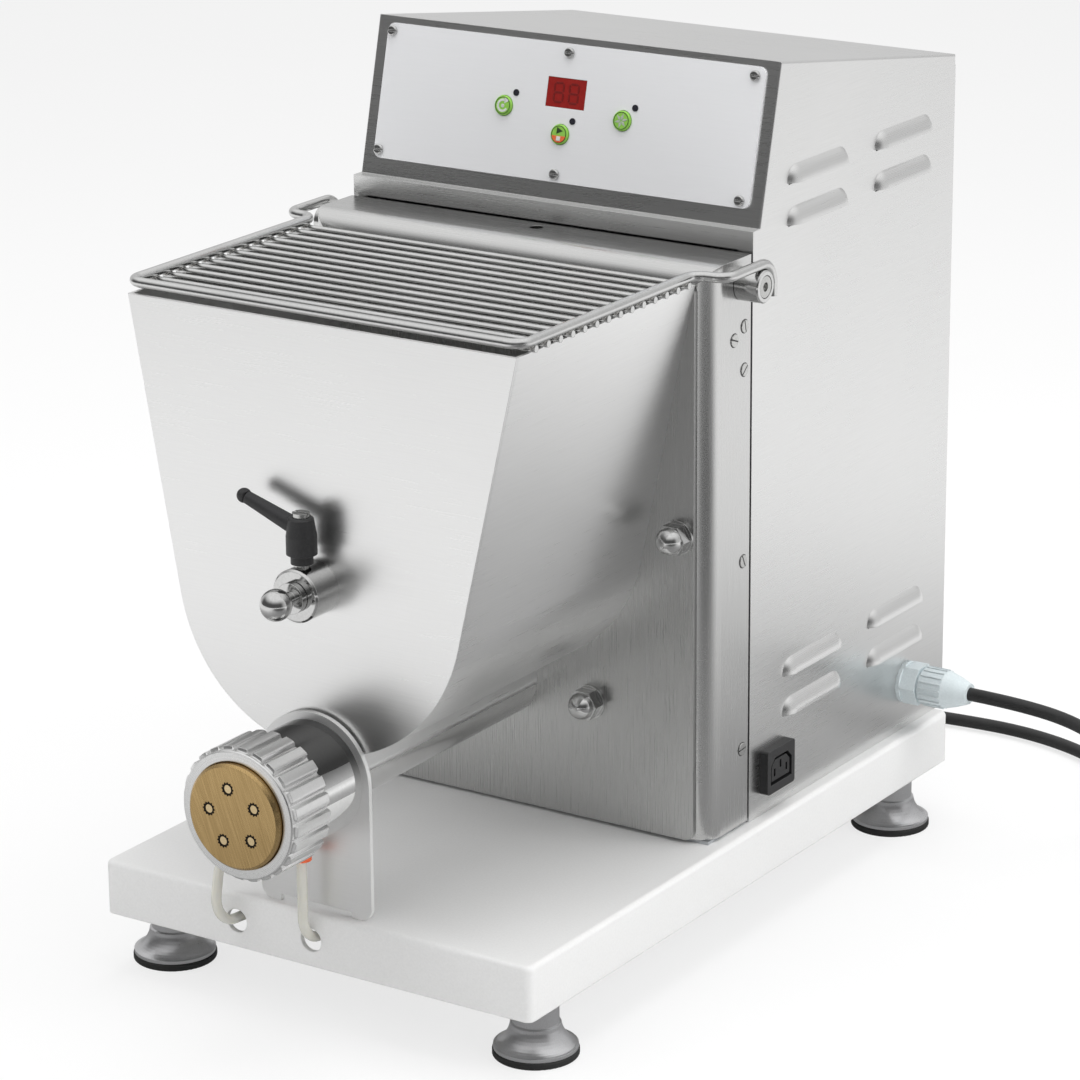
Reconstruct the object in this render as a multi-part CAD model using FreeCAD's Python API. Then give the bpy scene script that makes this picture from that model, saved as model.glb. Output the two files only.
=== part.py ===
import FreeCAD, Part
import math
import os

# Electric pasta maker: a hopper with a mixing paddle over an extruding screw, a cooled die head,
# a sheet steel housing with the drive and the control panel, on a hollow tray with four feet.
# Sizes are in millimetres. X runs across the machine, Y from the die head to the back, Z up.
# While it is modelled, y = 0 is the front edge of the tray and z = 0 is the table.

os.makedirs("parts", exist_ok=True)
V = FreeCAD.Vector
X_AXIS = V(1, 0, 0)
Y_AXIS = V(0, 1, 0)
Z_AXIS = V(0, 0, 1)

# Tray and feet
tray_width = 300.0
tray_depth = 488.0
tray_height = 33.3
tray_wall = 3.0
tray_edge_radius = 4.5
foot_height = 36.7
foot_post_radius = 13.5
foot_bell_radius = 25.0
foot_pad_height = 4.5
foot_bell_height = 15.0
foot_inset_x = 21.0
foot_inset_y = 37.0
tray_top = foot_height + tray_height

# Housing of folded sheet
sheet = 1.5
tray_border = 9.0
housing_width = tray_width - 2 * tray_border
half_housing = housing_width / 2
housing_front = 252.0
housing_rear = 496.0
band_height = 352.0
ledge_height = 363.8
fascia_foot_y = 259.6
head_top_y = 282.5
fascia_rise = 93.7
head_height = ledge_height + fascia_rise
roof_fall = 32.5
housing_rear_height = head_height - roof_fall
panel_return = 10.0
rear_return = 12.0
rear_screw_heights = (20.0, housing_rear_height / 2 - 2.5, housing_rear_height - 25.0)
fold_radius = 1.4
louvre_length = 71.0
louvre_radius = 13.0
louvre_rise = 5.0
louvre_fronts = (290.0, 394.0)
louvre_bottoms = (housing_rear_height - 40.5, housing_rear_height - 65.5, 81.5, 56.0)

# Front casing
casing_front = 206.0
casing_rear = 250.0
casing_height = 351.3
casing_gap = 2.2
casing_corner_radius = 13.0
sensor_hole_radius = 4.2

# Chassis
chassis_thickness = 2.0
frame_thickness = 3.0
frame_front = 222.0

# Hopper
hopper_top = 342.0
hopper_half_top = half_housing - 9.0
hopper_wall = 2.0
hopper_front_top = 20.0
hopper_front_drop = 10.0
hopper_front_span = 247.0
trough_radius = 98.0
mixer_height = 192.0
auger_height = 81.0
plate_front = 203.0
plate_thickness = 3.0
plate_half_width = hopper_half_top - 0.5
plate_corner_radius = 6.0
tube_radius = 22.0
tube_wall = 2.0

# Die head
bracket_front = 6.0
bracket_thickness = 3.0
bracket_radius = 38.7
bracket_corner_radius = 8.0
bracket_notch_half = 25.0
bracket_notch_height = 4.0
jacket_radius = 34.0
jacket_wall = 3.0
jacket_front = -56.0
nut_radius = 39.5
nut_front = -65.0
nut_length = 34.0
nut_lip = 4.0
nut_flutes = 24
flute_width = 4.6
flute_depth = 1.5
die_radius = 31.0
die_flange_radius = 33.4
die_proud = 4.0
die_hole_circle = 16.6
die_hole_count = 5
die_hole_start = math.radians(-10.5)
die_hole_radius = 3.3
die_tooth_depth = 0.8
die_teeth = 12
die_pin_radius = 2.6
die_seat_radius = 5.5
die_seat_depth = 3.0

# Screw and mixing paddle
auger_clearance = 0.5
auger_core_radius = 8.0
auger_pitch = 40.0
auger_flight = 4.5
auger_front = -52.0
hex_flat = 14.0
hex_depth = 20.0
shaft_radius = 14.0
shaft_tail_radius = 10.0
paddle_radius = 84.0
paddle_rod_radius = 5.0
paddle_shaft_radius = 10.0
paddle_front = 24.0
paddle_rods_front = (42.0, 84.0)
paddle_rods_rear = (184.0, 146.0)
pin_radius = 6.0
pin_reach = 36.0
knob_radius = 9.2
knob_y = -24.0
boss_radius = 15.5
boss_front = -7.0
lever_y = 1.0
lever_hub_radius = 8.8
lever_reach = 43.0
lever_rise = 13.0
lever_hub_bottom = 17.5
lever_hub_height = 27.0
stud_radius = 4.0

# Fasteners of the hopper plate
nut_flat = 17.0
nut_hex_height = 7.5
nut_total = 18.0
stud_m10 = 5.0
washer_radius = 10.5
washer_height = 2.0
stud_high = (plate_half_width - 10.5, 190.0)
stud_low = (60.0, 77.0)

# Gear train and gearbox
gear_module = 2.0
fine_module = 1.5
auger_pinion_teeth = 37
mixer_gear_teeth = 74
auger_wheel_teeth = 68
lay_pinion_teeth = 17
lay_wheel_teeth = 64
motor_pinion_teeth = 16
pressure_angle = math.radians(25.0)
backlash = 0.2
lay_distance = (auger_wheel_teeth + lay_pinion_teeth) * gear_module / 2
lay_offset = 0.49381 * half_housing
lay_angle = math.acos(lay_offset / lay_distance)
mixer_plane = (223.0, 235.0)
wheel_plane = (239.0, 253.0)
lay_plane = (261.0, 271.0)
box_front_plate = 10.0
box_rear = 282.0
box_cover = 10.0
box_wall = 5.0
gear_room = 2.5
lay_shaft_radius = 7.0
rotor_shaft_radius = 8.0
bearing_depth = 8.0

# Motor
motor_radius = 57.0
motor_wall = 3.0
motor_length = 118.0
stator_bore = 31.0
rotor_radius = 30.0
rotor_front = 20.0
rotor_length = 72.0
motor_fins = 24
fan_radius = 44.0
fan_width = 12.0
fan_blades = 8
cowl_length = 34.0
cowl_wall = 1.5

# Control panel, measured up the slope from the foot of the fascia
label_half_width = half_housing - 8.5
label_low = 10.2
label_high = 92.3
label_corner_radius = 5.0
label_thickness = 1.2
display_centre = (-0.3, 63.1)
display_size = (27.2, 17.7)
button_radius = 6.0
button_places = {"left_button": (-42.7, 51.3), "start_button": (-1.0, 38.6), "right_button": (40.7, 51.3)}
button_proud = 1.6
button_travel = 0.6
lamp_places = ((-35.1, 59.8), (6.5, 47.1), (48.4, 59.6))
lamp_radius = 2.0
panel_screw_left = 3.5 - label_half_width
panel_screw_right = label_half_width - 6.7
panel_screw_places = ((panel_screw_left, 87.3), (-1.2, 86.8), (panel_screw_right, 86.6),
                      (panel_screw_right, 14.5), (-1.6, 14.8), (panel_screw_left, 15.2))
panel_screw_radius = 3.3
board_depth = 12.0

# Outlet and gland on the right side
outlet_front_y = 264.0
outlet_length = 32.0
outlet_low = 14.0
outlet_height = 27.6
outlet_proud = 6.0
outlet_depth = 12.5
gland_y = 446.0
gland_height = 31.0
gland_flat = 24.0
gland_reach = 46.0

# Safety grid
grid_wire_radius = 3.0
grid_rod_radius = 2.0
grid_half_width = half_housing - 8.0
grid_front = 22.0
grid_inner_rear = 199.0
grid_height = 348.7
grid_rods = 14
grid_first_rod = 34.0
grid_pitch = 12.1
pivot_y = 240.0
pivot_radius = 9.7
pivot_screw_radius = 4.0
grid_side_gap = 12.5
grid_side_reach = half_housing + grid_side_gap
pivot_length = grid_side_gap + grid_wire_radius

# Water hoses
hose_radius = 3.0
hose_drop = 17.0
hose_left_x = -53.0
hose_right_x = 0.0
hose_left_reach = 47.0
lip_hole_radius = 7.2
fitting_radius = 5.6
fitting_length = 9.0
ring_length = 3.0
fitting_y = -7.0
nipple_reach = 14.0

# Power cord
cord_radius = 4.2
tie_thickness = 1.0
coil_centre = (-30.0, 567.0)
coil_outer = 56.0
coil_pitch = 9.3
coil_layer = 9.2
coil_gap = 0.3
plug_radius = 18.0

# Clearances
running = 0.05
free = 0.3

# Places that follow from the sizes above
auger_z = tray_top + auger_height
mixer_z = tray_top + mixer_height
pivot_z = tray_top + grid_height - pivot_radius - grid_wire_radius
origin_y = (tray_depth + nipple_reach + nut_front - die_proud) / 2
pieces = {}


def box(x0, x1, y0, y1, z0, z1):
    return Part.makeBox(x1 - x0, y1 - y0, z1 - z0, V(x0, y0, z0))


def rod_x(y, z, radius, x0, x1):
    return Part.makeCylinder(radius, x1 - x0, V(x0, y, z), X_AXIS)


def rod_y(x, z, radius, y0, y1):
    return Part.makeCylinder(radius, y1 - y0, V(x, y0, z), Y_AXIS)


def rod_z(x, y, radius, z0, z1):
    return Part.makeCylinder(radius, z1 - z0, V(x, y, z0), Z_AXIS)


def ring_y(x, z, outer, inner, y0, y1):
    return rod_y(x, z, outer, y0, y1).cut(rod_y(x, z, inner, y0 - 1, y1 + 1))


def hex_prism_y(x, z, flat, y0, y1):
    corner = flat / math.sqrt(3)
    points = [V(x + corner * math.cos(math.radians(60 * k)), y0, z + corner * math.sin(math.radians(60 * k)))
              for k in range(7)]
    return Part.Face(Part.makePolygon(points)).extrude(V(0, y1 - y0, 0))


def prism_x(outline, x0, x1):
    points = [V(x0, y, z) for y, z in outline]
    points.append(points[0])
    return Part.Face(Part.makePolygon(points)).extrude(V(x1 - x0, 0, 0))


def turned(profile, centre, axis):
    """A solid of revolution: profile is a list of (radius, distance along the axis)."""
    points = [V(r, 0, h) for r, h in profile]
    points.append(points[0])
    solid = Part.Face(Part.makePolygon(points)).revolve(V(0, 0, 0), Z_AXIS, 360)
    turn = FreeCAD.Rotation(Z_AXIS, axis)
    solid.Placement = FreeCAD.Placement(centre, turn)
    return solid


def fillet_where(solid, radius, wanted):
    edges = [e for e in solid.Edges if wanted(e)]
    return solid.makeFillet(radius, edges)


def runs_along(edge, axis):
    ends = [v.Point for v in edge.Vertexes]
    if len(ends) != 2:
        return False
    along = ends[1].sub(ends[0])
    return along.Length > 0 and abs(along.dot(axis)) > 0.999 * along.Length


def fuse_all(shapes):
    return shapes[0].multiFuse(shapes[1:]).removeSplitter() if len(shapes) > 1 else shapes[0]


def mirrored(shape):
    return shape.mirror(V(0, 0, 0), X_AXIS)


def keep(name, shapes):
    """Files the solids of one sub-part under its name."""
    pieces[name] = shapes if isinstance(shapes, list) else [shapes]


def smooth_path(points, radii):
    """Straight runs joined by tangent arcs of the given radii, one radius for each inner point."""
    edges = []
    start = points[0]
    for k in range(1, len(points) - 1):
        before = points[k - 1].sub(points[k])
        after = points[k + 1].sub(points[k])
        before.normalize()
        after.normalize()
        half = before.getAngle(after) / 2
        step = radii[k - 1] / math.tan(half)
        first = points[k].add(before * step)
        last = points[k].add(after * step)
        inward = before.add(after)
        inward.normalize()
        middle = points[k].add(inward * (radii[k - 1] / math.sin(half) - radii[k - 1]))
        if start.distanceToPoint(first) > 0.001:
            edges.append(Part.LineSegment(start, first).toShape())
        edges.append(Part.Arc(first, middle, last).toShape())
        start = last
    edges.append(Part.LineSegment(start, points[-1]).toShape())
    return Part.Wire(edges)


def tube_along(wire, radius, bore=0.0):
    start = wire.Edges[0].valueAt(wire.Edges[0].FirstParameter)
    along = wire.Edges[0].tangentAt(wire.Edges[0].FirstParameter)
    profile = Part.Wire([Part.Circle(start, along, radius).toShape()])
    solid = wire.makePipeShell([profile], True, False)
    if bore:
        solid = solid.cut(tube_along(wire, bore))
    return solid


def gear_blank(teeth, module, x, z, y0, y1, phase):
    """A spur gear with involute flanks. phase is the angle of one tooth, from +X towards +Z."""
    pitch = teeth * module / 2
    base = pitch * math.cos(pressure_angle)
    root = pitch - 1.25 * module
    tip = pitch + module

    def half_angle(radius):
        turn = math.acos(min(1.0, base / radius)) if radius > base else 0.0
        rolled = math.tan(turn) - turn
        at_pitch = math.tan(pressure_angle) - pressure_angle
        return math.pi / (2 * teeth) - backlash / (2 * pitch) + at_pitch - rolled

    low = max(base, root)
    flank = [low + (tip - low) * k / 4 for k in range(5)]
    if root < base:
        flank.insert(0, root)
    points = []
    for k in range(teeth):
        middle = phase + 2 * math.pi * k / teeth
        for radius in flank:
            points.append((radius, middle - half_angle(radius)))
        for radius in reversed(flank):
            points.append((radius, middle + half_angle(radius)))
    outline = [V(x + r * math.cos(a), y0, z + r * math.sin(a)) for r, a in points]
    outline.append(outline[0])
    return Part.Face(Part.makePolygon(outline)).extrude(V(0, y1 - y0, 0))


def on_fascia(solid):
    """Moves a solid from the panel's own frame (across, up the slope, outward) to its place."""
    lean = math.degrees(math.atan2(head_top_y - fascia_foot_y, fascia_rise))
    turn = FreeCAD.Rotation(X_AXIS, 90 - lean)
    place = FreeCAD.Placement(V(0, fascia_foot_y, tray_top + ledge_height), turn)
    solid.Placement = place.multiply(solid.Placement)
    return solid


def foot_places():
    x = tray_width / 2 - foot_inset_x
    return [(sx * x, y) for sx in (-1, 1) for y in (foot_inset_y, tray_depth - foot_inset_y)]


def stud_places():
    return [(sx * x, tray_top + z) for x, z in (stud_high, stud_low) for sx in (-1, 1)]


def make_tray():
    half = tray_width / 2
    outer = box(-half, half, 0, tray_depth, foot_height, tray_top)
    outer = fillet_where(outer, tray_edge_radius, lambda e: runs_along(e, Z_AXIS))
    outer = fillet_where(outer, tray_edge_radius - 1.5, lambda e: e.BoundBox.ZMin > tray_top - 0.01)
    inner = box(-half + tray_wall, half - tray_wall, tray_wall, tray_depth - tray_wall,
                foot_height - 1, tray_top - tray_wall)
    tray = outer.cut(inner)
    for x in (hose_left_x, hose_right_x):
        z = tray_top - hose_drop
        tray = tray.cut(rod_y(x, z, lip_hole_radius, -1, tray_wall + 1))
        tray = tray.cut(rod_y(x, z, fitting_radius - 1.2, tray_depth - tray_wall - 1, tray_depth + 1))
    keep("base_tray", tray)
    posts = []
    pads = []
    for x, y in foot_places():
        neck = foot_pad_height + foot_bell_height
        profile = [(0, foot_pad_height), (foot_bell_radius - 0.6, foot_pad_height)]
        profile.append((foot_bell_radius - 0.6, foot_pad_height + 2.0))
        for k in range(1, 9):
            angle = math.radians(90 * k / 9)
            width = foot_bell_radius - 0.6 - foot_post_radius - 1.2
            profile.append((foot_post_radius + 1.2 + width * (1 - math.sin(angle)) ** 0.8,
                            foot_pad_height + 2.0 + (foot_bell_height - 2.0) * (1 - math.cos(angle)) ** 0.9))
        profile += [(foot_post_radius + 1.2, neck), (foot_post_radius, neck + 0.8)]
        profile += [(foot_post_radius, tray_top - tray_wall), (0, tray_top - tray_wall)]
        posts.append(turned(profile, V(x, y, 0), Z_AXIS))
        pad = rod_z(x, y, foot_bell_radius, 0, foot_pad_height)
        pads.append(fillet_where(pad, 1.2, lambda e: len(e.Vertexes) == 1))
    keep("foot_posts", posts)
    keep("foot_pads", pads)


def make_chassis():
    half = half_housing - sheet - free
    top = tray_top + chassis_thickness
    plate = box(-half, half, casing_front + sheet + free, housing_rear - sheet - free, tray_top, top)
    parts = [plate]
    for side in (-1, 1):
        inner = side * (half - frame_thickness)
        low, high = sorted((inner, side * half))
        web = box(low, high, frame_front, casing_rear - 1, tray_top, tray_top + casing_height - 2 * sheet)
        parts.append(web)
    chassis = fuse_all(parts)
    for side in (-1, 1):
        low, high = sorted((side * (half_housing - panel_return - free), side * half_housing))
        chassis = chassis.cut(box(low, high, housing_front - free, housing_front + sheet + free,
                                  tray_top - 1, top + 1))
    for y, z in casing_screw_places():
        chassis = chassis.cut(rod_x(y, z, 2.2, -half - 1, half + 1))
    chassis = chassis.cut(rod_x(pivot_y, pivot_z, pivot_screw_radius, -half - 1, half + 1))
    keep("chassis", chassis)


def casing_screw_places():
    high = tray_top + casing_height
    return [(243.0, high - 41.3), (231.5, high - 47.3), (243.0, high - 67.3),
            (243.0, tray_top + 167.5), (243.0, tray_top + 50.0)]


def louvre(front, bottom):
    """The pressed hood of one louvre on the right side, and the hollow behind it."""
    back = louvre_radius - louvre_rise
    top = math.sqrt(louvre_radius ** 2 - back ** 2)
    z = tray_top + bottom
    x = half_housing - back
    span = louvre_length - 2 * top
    shapes = []
    for radius in (louvre_radius, louvre_radius - sheet):
        body = rod_y(x, z, radius, front + top, front + top + span)
        body = body.fuse(Part.makeSphere(radius, V(x, front + top, z)))
        body = body.fuse(Part.makeSphere(radius, V(x, front + top + span, z)))
        shapes.append(body)
    above = box(half_housing - sheet, half_housing + 20, front - 20, front + louvre_length + 20, z, z + 20)
    hood = shapes[0].common(above)
    room = box(half_housing - sheet - 1, half_housing + 20, front - 20, front + louvre_length + 20, z - 1, z + 20)
    return hood, shapes[1].common(room)


def make_housing():
    outline = [(housing_front, tray_top), (housing_front, tray_top + ledge_height),
               (fascia_foot_y, tray_top + ledge_height), (head_top_y, tray_top + head_height),
               (housing_rear, tray_top + housing_rear_height), (housing_rear, tray_top)]
    outer = prism_x(outline, -half_housing, half_housing)

    def folded(edge):
        flat = abs(edge.BoundBox.XMax - edge.BoundBox.XMin) < 0.01
        low = edge.BoundBox.ZMax < tray_top + 1
        return flat and not low and edge.BoundBox.ZMax > tray_top + ledge_height + 1

    outer = fillet_where(outer, fold_radius, folded)
    inner = [(housing_front + sheet, tray_top - 1), (housing_front + sheet, tray_top + ledge_height - sheet),
             (fascia_foot_y + sheet, tray_top + ledge_height - sheet),
             (head_top_y + sheet, tray_top + head_height - 1.9 * sheet),
             (housing_rear - sheet, tray_top + housing_rear_height - 1.1 * sheet),
             (housing_rear - sheet, tray_top - 1)]
    shell = outer.cut(prism_x(inner, -half_housing + sheet, half_housing - sheet))
    front_half = half_housing - panel_return
    shell = shell.cut(box(-front_half, front_half, housing_front - 1, housing_front + sheet + 1,
                          tray_top - 1, tray_top + band_height))
    rear_half = half_housing - rear_return
    shell = shell.cut(box(-rear_half, rear_half, housing_rear - sheet - 1, housing_rear + 1,
                          tray_top - 1, tray_top + housing_rear_height - rear_return))
    hoods = []
    rooms = []
    for front in louvre_fronts:
        for bottom in louvre_bottoms:
            hood, room = louvre(front, bottom)
            hoods += [hood, mirrored(hood)]
            rooms += [room, mirrored(room)]
    shell = shell.multiFuse(hoods)
    shell = shell.cut(Part.makeCompound(rooms))
    shell = shell.cut(box(half_housing - sheet - 1, half_housing + 1, outlet_front_y + 2,
                          outlet_front_y + outlet_length - 2, tray_top + outlet_low + 2,
                          tray_top + outlet_low + outlet_height - 2))
    shell = shell.cut(rod_x(gland_y, tray_top + gland_height, 8.0, half_housing - sheet - 1, half_housing + 1))
    for x, z in rear_screw_places():
        shell = shell.cut(rod_y(x, z, 2.2, housing_rear - sheet - 1, housing_rear + 1))
    cuts = []
    for x, v in button_places.values():
        cuts.append(on_fascia(rod_z(x, v, button_radius + free, -4, 2)))
    for x, v in lamp_places:
        cuts.append(on_fascia(rod_z(x, v, lamp_radius + free, -4, 2)))
    for x, v in panel_screw_places:
        cuts.append(on_fascia(rod_z(x, v, 1.6, -4, 2)))
    x, v = display_centre
    w, h = display_size
    cuts.append(on_fascia(box(x - w / 2 - free, x + w / 2 + free, v - h / 2 - free, v + h / 2 + free, -4, 2)))
    shell = shell.cut(Part.makeCompound(cuts))
    keep("housing_shell", shell)


def rear_screw_places():
    x = half_housing - rear_return / 2
    return [(sx * x, tray_top + z) for sx in (-1, 1) for z in rear_screw_heights]


def make_rear_cover():
    low = tray_top + 1
    high = tray_top + housing_rear_height - 4
    half = half_housing - 1
    cover = box(-half, half, housing_rear, housing_rear + sheet, low, high)
    cover = fillet_where(cover, 4.0, lambda e: runs_along(e, Y_AXIS))
    slots = []
    for row in range(8):
        z = tray_top + 90 + row * 12
        for x in (-60.0, 10.0):
            slot = box(x, x + 50, housing_rear - 1, housing_rear + sheet + 1, z, z + 4.5)
            slots.append(slot)
    for x, z in rear_screw_places():
        slots.append(rod_y(x, z, 2.2, housing_rear - 1, housing_rear + sheet + 1))
    keep("rear_cover", cover.cut(Part.makeCompound(slots)))


def slotted_screw(head_radius, head_height, shank_radius, shank_length):
    """A slotted screw that points down its own Z, with the head above z = 0."""
    head = Part.makeCylinder(head_radius, head_height)
    head = fillet_where(head, head_height * 0.6, lambda e: e.BoundBox.ZMin > head_height - 0.01
                        and len(e.Vertexes) == 1)
    slot = box(-head_radius, head_radius, -0.4, 0.4, head_height * 0.45, head_height + 1)
    return head.cut(slot).fuse(Part.makeCylinder(shank_radius, shank_length, V(0, 0, -shank_length)))


def placed(solid, centre, axis, spin=0.0):
    turn = FreeCAD.Rotation(Z_AXIS, axis).multiply(FreeCAD.Rotation(Z_AXIS, spin))
    solid.Placement = FreeCAD.Placement(centre, turn)
    return solid


def make_screws():
    screws = []
    spins = (12.0, 70.0, 130.0, 25.0, 95.0)
    for side in (-1, 1):
        for (y, z), spin in zip(casing_screw_places(), spins):
            screw = slotted_screw(3.9, 0.7, 2.2, sheet + free + frame_thickness)
            screws.append(placed(screw, V(side * half_housing, y, z), X_AXIS * side, spin))
    for x, z in rear_screw_places():
        screw = slotted_screw(3.9, 1.6, 2.2, sheet + 1.0)
        screws.append(placed(screw, V(x, housing_rear + sheet, z), Y_AXIS, 90.0))
    keep("cover_screws", screws)


def make_casing():
    low = tray_top + casing_gap
    high = tray_top + casing_height
    outer = box(-half_housing, half_housing, casing_front, casing_rear, low, high)

    def front_edge(edge):
        front = abs(edge.BoundBox.YMax - casing_front) < 0.01
        return front and not (edge.BoundBox.ZMax < low + 1)

    outer = fillet_where(outer, casing_corner_radius, front_edge)
    inner_half = half_housing - sheet
    inner = box(-inner_half, inner_half, casing_front + sheet, casing_rear + 1, low - 1, high - sheet)

    def inner_front(edge):
        front = abs(edge.BoundBox.YMax - casing_front - sheet) < 0.01
        return front and not (edge.BoundBox.ZMax < low)

    inner = fillet_where(inner, casing_corner_radius - sheet, inner_front)
    casing = outer.cut(inner)
    for x, z in stud_places():
        casing = casing.cut(rod_y(x, z, stud_m10 + free, casing_front - 1, casing_front + 3))
    for z in (auger_z, mixer_z):
        casing = casing.cut(rod_y(0, z, shaft_radius + free, casing_front - 1, casing_front + 3))
    for y, z in casing_screw_places():
        casing = casing.cut(rod_x(y, z, 2.2, -half_housing - 1, half_housing + 1))
    casing = casing.cut(rod_x(pivot_y, pivot_z, pivot_screw_radius, -half_housing - 1, half_housing + 1))
    casing = casing.cut(rod_z(0, pivot_y, sensor_hole_radius, high - 4, high + 1))
    keep("front_casing", casing)


def hopper_section(inset):
    """The hopper's cross-section drawn in as much as inset, extruded along Y past both ends."""
    radius = trough_radius - inset
    span = math.hypot(hopper_half_top, hopper_top - mixer_height)
    lean = math.atan2(hopper_half_top, hopper_top - mixer_height) - math.asin(trough_radius / span)
    tangent = V(radius * math.cos(lean), 0, mixer_z - radius * math.sin(lean))
    rise = tray_top + hopper_top + (1 if inset else 0)
    top = V(tangent.x + (rise - tangent.z) * math.tan(lean), 0, rise)
    neck = tube_radius - (tube_wall if inset else 0)
    low = V(neck, 0, mixer_z - math.sqrt(radius ** 2 - neck ** 2))
    middle_angle = (math.atan2(low.z - mixer_z, low.x) + math.atan2(tangent.z - mixer_z, tangent.x)) / 2
    middle = V(radius * math.cos(middle_angle), 0, mixer_z + radius * math.sin(middle_angle))

    def flip(p):
        return V(-p.x, 0, p.z)

    foot = V(neck, 0, auger_z)
    edges = [Part.LineSegment(flip(top), top), Part.LineSegment(top, tangent), Part.Arc(tangent, middle, low),
             Part.LineSegment(low, foot), Part.LineSegment(foot, flip(foot)),
             Part.LineSegment(flip(foot), flip(low)), Part.Arc(flip(low), flip(middle), flip(tangent)),
             Part.LineSegment(flip(tangent), flip(top))]
    face = Part.Face(Part.Wire([e.toShape() for e in edges]))
    face.translate(V(0, -10, 0))
    return face.extrude(V(0, plate_front + 10, 0))


def front_wall_y(height):
    return hopper_front_top - (hopper_top - height) * hopper_front_drop / hopper_front_span


def front_slab(depth0, depth1):
    """The space between two planes parallel to the leaning front wall."""
    low = 40.0
    high = hopper_top + 20
    outline = [(front_wall_y(low) + depth0, tray_top + low), (front_wall_y(high) + depth0, tray_top + high),
               (front_wall_y(high) + depth1, tray_top + high), (front_wall_y(low) + depth1, tray_top + low)]
    return prism_x(outline, -160, 160)


def make_hopper():
    outer = hopper_section(0.0)
    inner = hopper_section(hopper_wall)
    tube_room = rod_y(0, auger_z, tube_radius, -20, plate_front + 10)
    shell = outer.cut(inner).common(front_slab(hopper_wall, 300)).cut(tube_room)
    keep("hopper_shell", fuse_all(shell.Solids))
    front = outer.common(front_slab(0, hopper_wall)).cut(tube_room)
    front = front.cut(rod_y(0, mixer_z, pin_radius + free, -10, 40))
    keep("hopper_front", front)
    low = tray_top + casing_gap
    plate = box(-plate_half_width, plate_half_width, plate_front, plate_front + plate_thickness,
                low, tray_top + hopper_top)
    plate = fillet_where(plate, plate_corner_radius, lambda e: runs_along(e, Y_AXIS))
    for x, z in stud_places():
        plate = plate.cut(rod_y(x, z, stud_m10 + free, plate_front - 1, plate_front + 9))
    for z in (auger_z, mixer_z):
        plate = plate.cut(rod_y(0, z, shaft_radius + free, plate_front - 1, plate_front + 9))
    keep("hopper_back_plate", plate)
    tube = ring_y(0, auger_z, tube_radius, tube_radius - tube_wall, jacket_front, plate_front)
    half = tube_radius - tube_wall - 1.0
    mouth = box(-half, half, front_wall_y(auger_height) + hopper_wall + 2, plate_front - 6, auger_z, auger_z + 40)
    keep("extrusion_tube", tube.cut(mouth))


def make_head():
    bracket = rod_y(0, auger_z, bracket_radius, bracket_front, bracket_front + bracket_thickness)
    legs = box(-bracket_radius, bracket_radius, bracket_front, bracket_front + bracket_thickness,
               tray_top, auger_z)
    bottom_edges = [e for e in legs.Edges if runs_along(e, Y_AXIS) and e.BoundBox.ZMax < tray_top + 1]
    legs = legs.makeFillet(bracket_corner_radius, bottom_edges)
    bracket = bracket.fuse(legs).removeSplitter()
    bracket = bracket.cut(box(-bracket_notch_half, bracket_notch_half, bracket_front - 1, bracket_front + 9,
                              tray_top - 1, tray_top + bracket_notch_height))
    keep("front_bracket", bracket.cut(rod_y(0, auger_z, tube_radius, -20, 60)))
    jacket = [(tube_radius, 0), (jacket_radius - 1, 0), (jacket_radius, 1),
              (jacket_radius, bracket_front - jacket_front), (tube_radius, bracket_front - jacket_front),
              (tube_radius, bracket_front - jacket_front - 6),
              (jacket_radius - jacket_wall, bracket_front - jacket_front - 6),
              (jacket_radius - jacket_wall, 10), (tube_radius, 10)]
    jacket = turned(jacket, V(0, jacket_front, auger_z), Y_AXIS)
    for direction, foot in fitting_axes():
        jacket = jacket.cut(Part.makeCylinder(fitting_radius - 2, 12, foot.sub(direction * 8), direction))
    keep("cooling_jacket", jacket)
    rear = nut_front + nut_length
    lip = nut_front + nut_lip
    nut = rod_y(0, auger_z, nut_radius, nut_front, rear)
    nut = nut.cut(rod_y(0, auger_z, die_radius + free, nut_front - 1, lip + 1))
    nut = nut.cut(rod_y(0, auger_z, jacket_radius + free, lip, rear + 1))
    nut = nut.makeChamfer(1.0, [e for e in nut.Edges if len(e.Vertexes) == 1
                                and abs(e.BoundBox.XMax - nut_radius) < 0.01 and e.BoundBox.YMax < nut_front + 1])
    flute = box(-flute_width / 2, flute_width / 2, nut_front + 3, rear + 1, nut_radius - flute_depth, nut_radius + 2)
    flute = flute.fuse(box(-flute_width / 2, flute_width / 2, rear - 3, rear + 1,
                           nut_radius - 2 * flute_depth, nut_radius + 2))
    flutes = []
    for k in range(nut_flutes):
        cut = flute.copy()
        cut.rotate(V(0, 0, 0), Y_AXIS, 360 * k / nut_flutes)
        cut.translate(V(0, 0, auger_z))
        flutes.append(cut)
    keep("ring_nut", nut.cut(Part.makeCompound(flutes)))
    make_die(lip)


def die_hole_places():
    angles = [die_hole_start + 2 * math.pi * k / die_hole_count for k in range(die_hole_count)]
    return [(die_hole_circle * math.sin(a), auger_z + die_hole_circle * math.cos(a)) for a in angles]


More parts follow.
